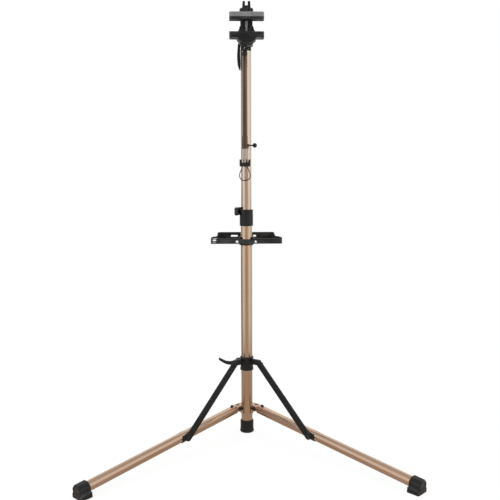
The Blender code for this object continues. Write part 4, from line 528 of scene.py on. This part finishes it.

# %% [markdown]
# A thin black cord hangs in a loop from the cradle at the end of the support rod. Its route is a few
# listed points, and a smooth curve through them gives the cord its hang. It leaves the cradle and goes
# back into it, so both ends are held.

# %% Cord route
ROD_AXIS = (-0.005, -0.0375)
CORD_TOP = 0.9077
CORD_STEPS = 2
cord_route = (
    (-0.0085, CORD_TOP),
    (-0.0098, CORD_TOP - 0.0051),
    (-0.0122, CORD_TOP - 0.0117),
    (-0.0155, CORD_TOP - 0.0187),
    (-0.0176, CORD_TOP - 0.0277),
    (-0.0155, CORD_TOP - 0.0377),
    (-0.0080, CORD_TOP - 0.0440),
    (0.0000, CORD_TOP - 0.0455),
    (0.0080, CORD_TOP - 0.0440),
    (0.0155, CORD_TOP - 0.0377),
    (0.0176, CORD_TOP - 0.0277),
    (0.0155, CORD_TOP - 0.0187),
    (0.0122, CORD_TOP - 0.0117),
    (0.0098, CORD_TOP - 0.0051),
    (0.0085, CORD_TOP),
)


def smooth_route(route, steps):
    """Points of a smooth curve through the route, in the plane of the rod."""
    ends = [route[0], *route, route[-1]]
    points = []
    for i in range(1, len(ends) - 2):
        before, start, end, after = (Vector(p) for p in ends[i - 1:i + 3])
        for k in range(steps):
            share = k / steps
            bend = 2 * before - 5 * start + 4 * end - after
            sway = 3 * start - before - 3 * end + after
            place = start + ((end - before) * share + bend * share * share + sway * share ** 3) / 2
            points.append(Vector((ROD_AXIS[0] + place.x, ROD_AXIS[1], place.y)))
    points.append(Vector((ROD_AXIS[0] + route[-1][0], ROD_AXIS[1], route[-1][1])))
    return points


cord_points = smooth_route(cord_route, CORD_STEPS)

# %% [markdown]
# The cord could stay a curve with a round section. It is made a mesh tube instead, whose ends are closed and
# whose box is no larger than the cord itself.

# %% Cord tube
CORD_DIAMETER = 0.003
CORD_ROUNDNESS = 4
CORD_MERGE_GAP = 0.00001
CORD_SMOOTH_ANGLE = math.radians(40)


def hold(piece):
    """Makes the piece the only one selected, and the active one."""
    bpy.ops.object.select_all(action="DESELECT")
    piece.select_set(True)
    bpy.context.view_layer.objects.active = piece


cord_curve = bpy.data.curves.new("hanging_cord", "CURVE")
cord_curve.dimensions = "3D"
cord_curve.bevel_depth = CORD_DIAMETER / 2
cord_curve.bevel_resolution = CORD_ROUNDNESS
cord_curve.use_fill_caps = True
spline = cord_curve.splines.new("POLY")
spline.points.add(len(cord_points) - 1)
for point, place in zip(spline.points, cord_points):
    point.co = (*place, 1.0)
cord = bpy.data.objects.new("hanging_cord", cord_curve)
bpy.context.scene.collection.objects.link(cord)
hold(cord)
bpy.ops.object.convert(target="MESH")
bpy.ops.object.mode_set(mode="EDIT")
bpy.ops.mesh.select_all(action="SELECT")
bpy.ops.mesh.remove_doubles(threshold=CORD_MERGE_GAP)
bpy.ops.mesh.normals_make_consistent(inside=False)
bpy.ops.object.mode_set(mode="OBJECT")
bpy.ops.object.shade_smooth_by_angle(angle=CORD_SMOOTH_ANGLE)
cord.data.materials.append(black_rubber)
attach(cord, "rod_end")
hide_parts("rod_cord_loop")
print("cord faces:", len(cord.data.polygons))

# %% [markdown]
# A bolt on the stand is turned with a hexagon key. A six-sided cylinder is set on the crown of its head and
# cut out, which gives true flats, where an inset would only follow the round head.

# %% Key sockets
HEAD_THICKNESS = 0.003
WIDTH_DIGITS = 5
KEY_SIDES = 6
BOLT_KEY = 0.005
SCREW_KEY = 0.004
KEY_DEPTH = 0.0022
BACK = Vector((0, 1, 0))


def crown_of(piece, axis):
    """Middle of the piece's end with the wider head, and the way that it faces."""
    points = [vertex.co for vertex in piece.data.vertices]
    middle = sum(points, Vector()) / len(points)
    ends = []
    for sense in (axis, -axis):
        reach = max((p - middle).dot(sense) for p in points)
        near = [p for p in points if (p - middle).dot(sense) > reach - HEAD_THICKNESS]
        width = max(((p - middle) - sense * (p - middle).dot(sense)).length for p in near)
        ends.append((round(width, WIDTH_DIGITS), sense, reach))
    _, sense, reach = max(ends, key=lambda end: end[0])
    return middle + sense * reach, sense


def cut_socket(piece, axis, key):
    """Six-sided socket for a key of the given width across its flats."""
    place, out = crown_of(piece, axis)
    corner = key / 2 / math.cos(math.pi / KEY_SIDES)
    bpy.ops.object.select_all(action="DESELECT")
    bpy.ops.mesh.primitive_cylinder_add(
        vertices=KEY_SIDES, radius=corner, depth=2 * KEY_DEPTH, location=place, end_fill_type="NGON"
    )
    cutter = bpy.context.object
    cutter.rotation_mode = "QUATERNION"
    cutter.rotation_quaternion = out.to_track_quat("Z", "Y")
    bpy.context.view_layer.update()
    socket = piece.modifiers.new("socket", "BOOLEAN")
    socket.operation = "DIFFERENCE"
    socket.object = cutter
    hold(piece)
    bpy.ops.object.modifier_apply(modifier="socket")
    bpy.data.objects.remove(cutter)


sockets = {"hub_bolt": (BACK, BOLT_KEY)}
for side, axis in leg_axes.items():
    leg_upward = (UP - axis * (axis.z / axis.length_squared)).normalized()
    pin_axis = axis.cross(UP).normalized()
    sockets["leg_screw_" + side] = (leg_upward, SCREW_KEY)
    sockets["strut_top_bolt_" + side] = (pin_axis, BOLT_KEY)
    sockets["strut_foot_bolt_" + side] = (pin_axis, BOLT_KEY)
print("bolts with a key socket:", len(sockets))

# %% [markdown]
# A rubber boot is moulded with a sunk panel on each of its flats, which keeps its walls even. The flats are
# picked by their size and the way that they face, and are inset twice in edit mode: once for the border and
# once, with depth, for the steep sides.

# %% Boot panels
FLAT_AREA = 0.00025
SIDE_LEAN = 0.2
LOWEST_SIDE = -0.7
END_FACING = 0.95
SIDE_BORDER = 0.0022
END_BORDER = 0.0030
PANEL_DEPTH = 0.0010
PANEL_SLOPE = 0.6


def pick_faces(piece, wanted):
    """Leaves the piece in edit mode with the wanted faces selected."""
    hold(piece)
    bpy.ops.object.mode_set(mode="EDIT")
    bpy.ops.mesh.select_mode(type="FACE")
    bpy.ops.mesh.select_all(action="DESELECT")
    bpy.ops.object.mode_set(mode="OBJECT")
    for face in piece.data.polygons:
        face.select = wanted(face)
    bpy.ops.object.mode_set(mode="EDIT")


def sink_panels(piece, wanted, border):
    """Sunk panel with steep sides in each of the wanted faces."""
    pick_faces(piece, wanted)
    bpy.ops.mesh.inset(thickness=border, depth=0.0, use_individual=True)
    bpy.ops.mesh.inset(thickness=PANEL_DEPTH * PANEL_SLOPE, depth=-PANEL_DEPTH, use_individual=True)
    bpy.ops.object.mode_set(mode="OBJECT")


def shape_boot(piece, axis):
    """Sunk panels on the flats of a rubber boot and a sunk field on its end."""
    along = axis.normalized()

    def side_flat(face):
        upright = abs(face.normal.dot(along)) < SIDE_LEAN
        return face.area > FLAT_AREA and upright and face.normal.z > LOWEST_SIDE

    def end_flat(face):
        return face.area > FLAT_AREA and face.normal.dot(along) > END_FACING

    sink_panels(piece, side_flat, SIDE_BORDER)
    sink_panels(piece, end_flat, END_BORDER)


# %% [markdown]
# Each node of the solid model names a slot for its material, and most finishes go by that slot. The tubes of
# the legs have their own, because their die lines run along each leg, and the inner mast tube is paler.

# %% Finish of every node
finish_of_slot = {
    "champagne_gold_tube": lower_tube_gold,
    "dark_bronze_tube": rod_bronze,
    "silver_rod": rod_silver,
    "bright_steel": zinc_steel,
    "black_painted_steel": black_paint,
    "black_plastic": black_plastic,
    "black_rubber": black_rubber,
    "grey_casting": grey_casting,
}
finish_of_node = {
    "mast_inner_tube": upper_tube_gold,
    "leg_tube_left": leg_gold["left"],
    "leg_tube_right": leg_gold["right"],
    "hinge_tongue_left": leg_gold["left"],
    "hinge_tongue_right": leg_gold["right"],
}
body_of = {node: body for body, held in frame["record"]["behaviour"]["bodies"].items() for node in held}
slot_of = {entry["node"]: entry["material_slot"] for entry in frame["record"]["subparts"]}


def finish_for(node):
    return finish_of_node.get(node, finish_of_slot[slot_of[node]])


print("slots with a finish:", len(finish_of_slot))

# %% [markdown]
# The solid model comes as loose triangles. For a smooth surface each node is copied, its points are merged,
# its edges get a hair-thin bevel to catch the light, and the copy stands for the node. Sockets and panels
# are cut before the bevel, so their edges are rounded too. Nothing changes size.

# %% Dress every node
MERGE_GAP = 0.00002
FLAT_ANGLE = math.radians(0.5)
EDGE_WIDTH = 0.0005
EDGE_STEPS = 2
EDGE_ANGLE = math.radians(38)
SMOOTH_ANGLE = math.radians(34)
MADE_ANEW = ("rod_cord_loop", "clamp_screw")


def dress(node):
    """Smooth copy of a node, with a thin bevel on its edges, in its finish."""
    mesh = nodes[node].data.copy()
    mesh.materials.clear()
    form = bmesh.new()
    form.from_mesh(mesh)
    bmesh.ops.remove_doubles(form, verts=form.verts, dist=MERGE_GAP)
    bmesh.ops.dissolve_limit(form, angle_limit=FLAT_ANGLE, verts=form.verts, edges=form.edges)
    form.to_mesh(mesh)
    form.free()
    piece = bpy.data.objects.new(node + "_shell", mesh)
    bpy.context.scene.collection.objects.link(piece)
    mesh.materials.append(finish_for(node))
    if node in sockets:
        cut_socket(piece, *sockets[node])
    if node.startswith("leg_foot_"):
        shape_boot(piece, leg_axes[node.removeprefix("leg_foot_")])
    edge = piece.modifiers.new("edge", "BEVEL")
    edge.width = EDGE_WIDTH
    edge.segments = EDGE_STEPS
    edge.limit_method = "ANGLE"
    edge.angle_limit = EDGE_ANGLE
    hold(piece)
    bpy.ops.object.modifier_apply(modifier="edge")
    bpy.ops.object.shade_smooth_by_angle(angle=SMOOTH_ANGLE)
    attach(piece, body_of[node])
    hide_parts(node)
    return piece


shells = {node: dress(node) for node in sorted(nodes) if node not in MADE_ANEW}
print("dressed nodes:", len(shells))

# %% [markdown]
# The clamp screw stands in full view in the window of the clamp body, so it needs its thread. A helix could
# be spun, but a thread this fine reads as close rings, and they are simpler. A cylinder of the screw's size
# gets many cuts along its length, and every second ring of points is drawn in to the root of the thread, the
# two ends too, which chamfers them.

# %% Threaded clamp screw
SCREW_SIDES = 24
THREAD_RINGS = 76
THREAD_ROOT = 0.92
THREAD_SMOOTH_ANGLE = math.radians(50)

low, high = (Vector(corner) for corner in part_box("clamp_screw"))
middle = (low + high) / 2
screw_radius = (high.x - low.x) / 2
screw_length = high.z - low.z
bpy.ops.object.select_all(action="DESELECT")
bpy.ops.mesh.primitive_cylinder_add(
    vertices=SCREW_SIDES, radius=screw_radius, depth=screw_length, location=middle, end_fill_type="NGON"
)
screw = bpy.context.object
screw.name = "clamp_screw_thread"
bpy.ops.object.transform_apply(location=True, rotation=True, scale=True)
bpy.ops.object.mode_set(mode="EDIT")
bpy.ops.mesh.select_mode(type="EDGE")
bpy.ops.mesh.select_all(action="DESELECT")
bpy.ops.object.mode_set(mode="OBJECT")
points = screw.data.vertices
for edge in screw.data.edges:
    start, end = (points[i].co for i in edge.vertices)
    edge.select = abs(start.z - end.z) > screw_length / 2
bpy.ops.object.mode_set(mode="EDIT")
bpy.ops.mesh.subdivide(number_cuts=THREAD_RINGS - 1)
bpy.ops.mesh.select_mode(type="VERT")
bpy.ops.mesh.select_all(action="DESELECT")
bpy.ops.object.mode_set(mode="OBJECT")
for point in screw.data.vertices:
    ring = round((point.co.z - low.z) / screw_length * THREAD_RINGS)
    point.select = ring % 2 == 0
bpy.ops.object.mode_set(mode="EDIT")
bpy.ops.transform.resize(value=(THREAD_ROOT, THREAD_ROOT, 1.0), center_override=middle)
bpy.ops.object.mode_set(mode="OBJECT")
bpy.ops.object.shade_smooth_by_angle(angle=THREAD_SMOOTH_ANGLE)
screw.data.materials.append(greased_steel)
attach(screw, "clamp_knob_body")
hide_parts("clamp_screw")
print("thread rings:", THREAD_RINGS // 2)

# %% [markdown]
# Moulded ribs stiffen the clamp's nose, the front edge of the grey jaw, the pads and the levers. They are
# all the same kind of bar, so one function models it: a box is added at its size, its top is drawn in for
# draft, and its edges are rounded. Each rib is a copy of such a bar with its own mesh, set on the surface
# that carries it and sunk a hair into it, so no gap shows.

# %% Rib bars
BAR_DRAFT = 0.62
BAR_ROUNDING = 0.18
TOP_FACING = 0.9
SUNK = 0.0003
RIGHT = Vector((1, 0, 0))


def model_bar(length, width, height):
    """Bar along X that stands on the plane of X and Y."""
    bpy.ops.object.select_all(action="DESELECT")
    bpy.ops.mesh.primitive_cube_add(size=1.0, location=(0, 0, height / 2))
    bar = bpy.context.object
    bar.scale = (length, width, height)
    bpy.ops.object.transform_apply(location=True, rotation=True, scale=True)
    pick_faces(bar, lambda face: face.normal.z > TOP_FACING)
    draft = (1.0 - height / length, BAR_DRAFT, 1.0)
    bpy.ops.transform.resize(value=draft, center_override=(0, 0, height))
    bpy.ops.mesh.select_all(action="SELECT")
    bpy.ops.mesh.bevel(offset=min(width, height) * BAR_ROUNDING, segments=EDGE_STEPS, affect="EDGES")
    bpy.ops.object.mode_set(mode="OBJECT")
    bpy.ops.object.shade_smooth_by_angle(angle=SMOOTH_ANGLE)
    return bar


def set_bar(bar, name, place, along, out, node):
    """Copy of the bar on a node's surface, along one way and standing out another."""
    turn = Matrix((along, out.cross(along), out)).transposed().to_4x4()
    mesh = bar.data.copy()
    mesh.transform(Matrix.Translation(place) @ turn)
    mesh.materials.append(finish_for(node))
    rib = bpy.data.objects.new(name, mesh)
    bpy.context.scene.collection.objects.link(rib)
    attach(rib, body_of[node])


def surface_at(node, start, toward):
    """Point where a straight line from the start first meets the node."""
    found, place, _, _ = shells[node].ray_cast(Vector(start), toward)
    if not found:
        raise ValueError("nothing to stand on: " + node)
    return place


# %% [markdown]
# The rounded nose of the clamp body carries upright ribs. Grooves could be cut into it instead, but bars
# that stand on it leave the body whole. Each rib ends where the round of the nose does, so its length
# follows half an ellipse.

# %% Ribs on the nose
RIB_WIDTH = 0.0026
RIB_HEIGHT = 0.0012
HEAD_AXIS = 1.301
NOSE_HALF_WIDTH = 0.0255
NOSE_DROP = 0.0180
NOSE_TOP_GAP = 0.0045
NOSE_RIB_STEP = 0.0044
NOSE_RIBS_ASIDE = 4
BEFORE_NOSE = -0.2

nose_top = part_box("lower_jaw_pad")[1][2] - NOSE_TOP_GAP
for k in range(-NOSE_RIBS_ASIDE, NOSE_RIBS_ASIDE + 1):
    x = k * NOSE_RIB_STEP
    bottom = HEAD_AXIS - NOSE_DROP * math.sqrt(1.0 - (x / NOSE_HALF_WIDTH) ** 2)
    bar = model_bar(nose_top - bottom, RIB_WIDTH, RIB_HEIGHT)
    front = surface_at("clamp_body", (x, BEFORE_NOSE, HEAD_AXIS), BACK)
    place = (x, front.y + SUNK, (nose_top + bottom) / 2)
    set_bar(bar, f"nose_rib_{NOSE_RIBS_ASIDE + 1 + k}", place, UP, -BACK, "clamp_body")
    bpy.data.objects.remove(bar)
print("nose ribs:", 2 * NOSE_RIBS_ASIDE + 1)

# %% [markdown]
# The front edge of the grey jaw has close upright ribs from end to end. They are all alike, so one bar is
# modelled to the height of the jaw and copied along it.

# %% Ribs on the grey jaw
JAW_RIB_SHARE = 0.72
JAW_RIB_STEP = 0.0045
JAW_RIBS_ASIDE = 10

low, high = (Vector(corner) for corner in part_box("upper_jaw"))
bar = model_bar((high.z - low.z) * JAW_RIB_SHARE, RIB_WIDTH, RIB_HEIGHT)
for k in range(-JAW_RIBS_ASIDE, JAW_RIBS_ASIDE + 1):
    place = (k * JAW_RIB_STEP, low.y + SUNK, (low.z + high.z) / 2)
    set_bar(bar, f"jaw_rib_{JAW_RIBS_ASIDE + 1 + k}", place, UP, -BACK, "upper_jaw")
bpy.data.objects.remove(bar)
print("jaw ribs:", 2 * JAW_RIBS_ASIDE + 1)

# %% [markdown]
# The rubber pads grip with ribs across them, which stay clear of their middle. The lower pad has them on
# its top and the upper pad on its underside, so they face each other. One bar is modelled for each pad and
# copied to both sides.

# %% Ribs on the gripping pads
PAD_RIB_SHARE = 0.80
PAD_RIB_WIDTH = 0.0030
PAD_RIB_HEIGHT = 0.0010
PAD_RIB_FIRST = 0.0145
PAD_RIB_STEP = 0.0075
PAD_RIBS_ASIDE = 5

pad_rib_count = 0
for node, out, gripping in (("lower_jaw_pad", 1, 1), ("upper_jaw_pad", -1, 0)):
    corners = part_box(node)
    front, back = corners[0][1], corners[1][1]
    bar = model_bar((back - front) * PAD_RIB_SHARE, PAD_RIB_WIDTH, PAD_RIB_HEIGHT)
    for sign in (-1, 1):
        for k in range(PAD_RIBS_ASIDE):
            x = sign * (PAD_RIB_FIRST + k * PAD_RIB_STEP)
            place = (x, (front + back) / 2, corners[gripping][2] - out * SUNK)
            pad_rib_count += 1
            set_bar(bar, f"{node}_rib_{pad_rib_count}", place, BACK, out * UP, node)
    bpy.data.objects.remove(bar)
print("pad ribs:", pad_rib_count)

# %% [markdown]
# A finger finds each cam lever by three ridges near its tip. A lever is curved, so a straight line is sent
# to it for each ridge, and the ridge is set where the line meets it.

# %% Grip ridges on the levers
RIDGE_WIDTH = 0.0018
RIDGE_HEIGHT = 0.0011
RIDGE_STEP = 0.0045
RIDGES = 3
HEAD_RIDGE_LENGTH = 0.0105
HEAD_RIDGE_LOW = 1.2300
SLIDER_RIDGE_LENGTH = 0.0080
SLIDER_RIDGE_LEFT = -0.0860
ABOVE_SLIDER = 0.32
MAST_RIDGE_LENGTH = 0.0200
MAST_RIDGE_FRONT = -0.0050
LEFT_OF_LEVERS = -0.08


def add_ridges(lever, length, first, way, toward, along):
    """Row of ridges, a step apart the given way, where lines toward the lever meet it."""
    bar = model_bar(length, RIDGE_WIDTH, RIDGE_HEIGHT)
    for k in range(RIDGES):
        start = Vector(first) + way * (k * RIDGE_STEP)
        place = surface_at(lever, start, toward) + toward * SUNK
        set_bar(bar, f"{lever}_ridge_{k + 1}", place, along, -toward, lever)
    bpy.data.objects.remove(bar)
    print(lever, "ridges:", RIDGES)


low, high = (Vector(corner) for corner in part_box("mast_clamp_lever"))
mast_ridge_start = (LEFT_OF_LEVERS, MAST_RIDGE_FRONT, (low.z + high.z) / 2)
add_ridges("head_lever", HEAD_RIDGE_LENGTH, (LEFT_OF_LEVERS, 0, HEAD_RIDGE_LOW), UP, RIGHT, BACK)
add_ridges("slider_lever", SLIDER_RIDGE_LENGTH, (SLIDER_RIDGE_LEFT, 0, ABOVE_SLIDER), RIGHT, -UP, BACK)
add_ridges("mast_clamp_lever", MAST_RIDGE_LENGTH, mast_ridge_start, BACK, RIGHT, UP)

# %% [markdown]
# A moulded tray is stiffened by a bead along the top of its front wall, on each side of the mast. From the
# front it is the line that catches the light.

# %% Tray beads
TRAY_FRONT_TOP = 0.6713
BEAD_LENGTH = 0.0780
BEAD_WIDTH = 0.0022
BEAD_HEIGHT = 0.0014
BEAD_PLACE = 0.0640

tray_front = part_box("tool_tray")[0][1]
bar = model_bar(BEAD_LENGTH, BEAD_WIDTH, BEAD_HEIGHT)
for name, sign in (("tray_bead_left", -1), ("tray_bead_right", 1)):
    place = (sign * BEAD_PLACE, tray_front + SUNK, TRAY_FRONT_TOP - BEAD_WIDTH)
    set_bar(bar, name, place, RIGHT, -BACK, "tool_tray")
bpy.data.objects.remove(bar)
print("tray beads: 2")
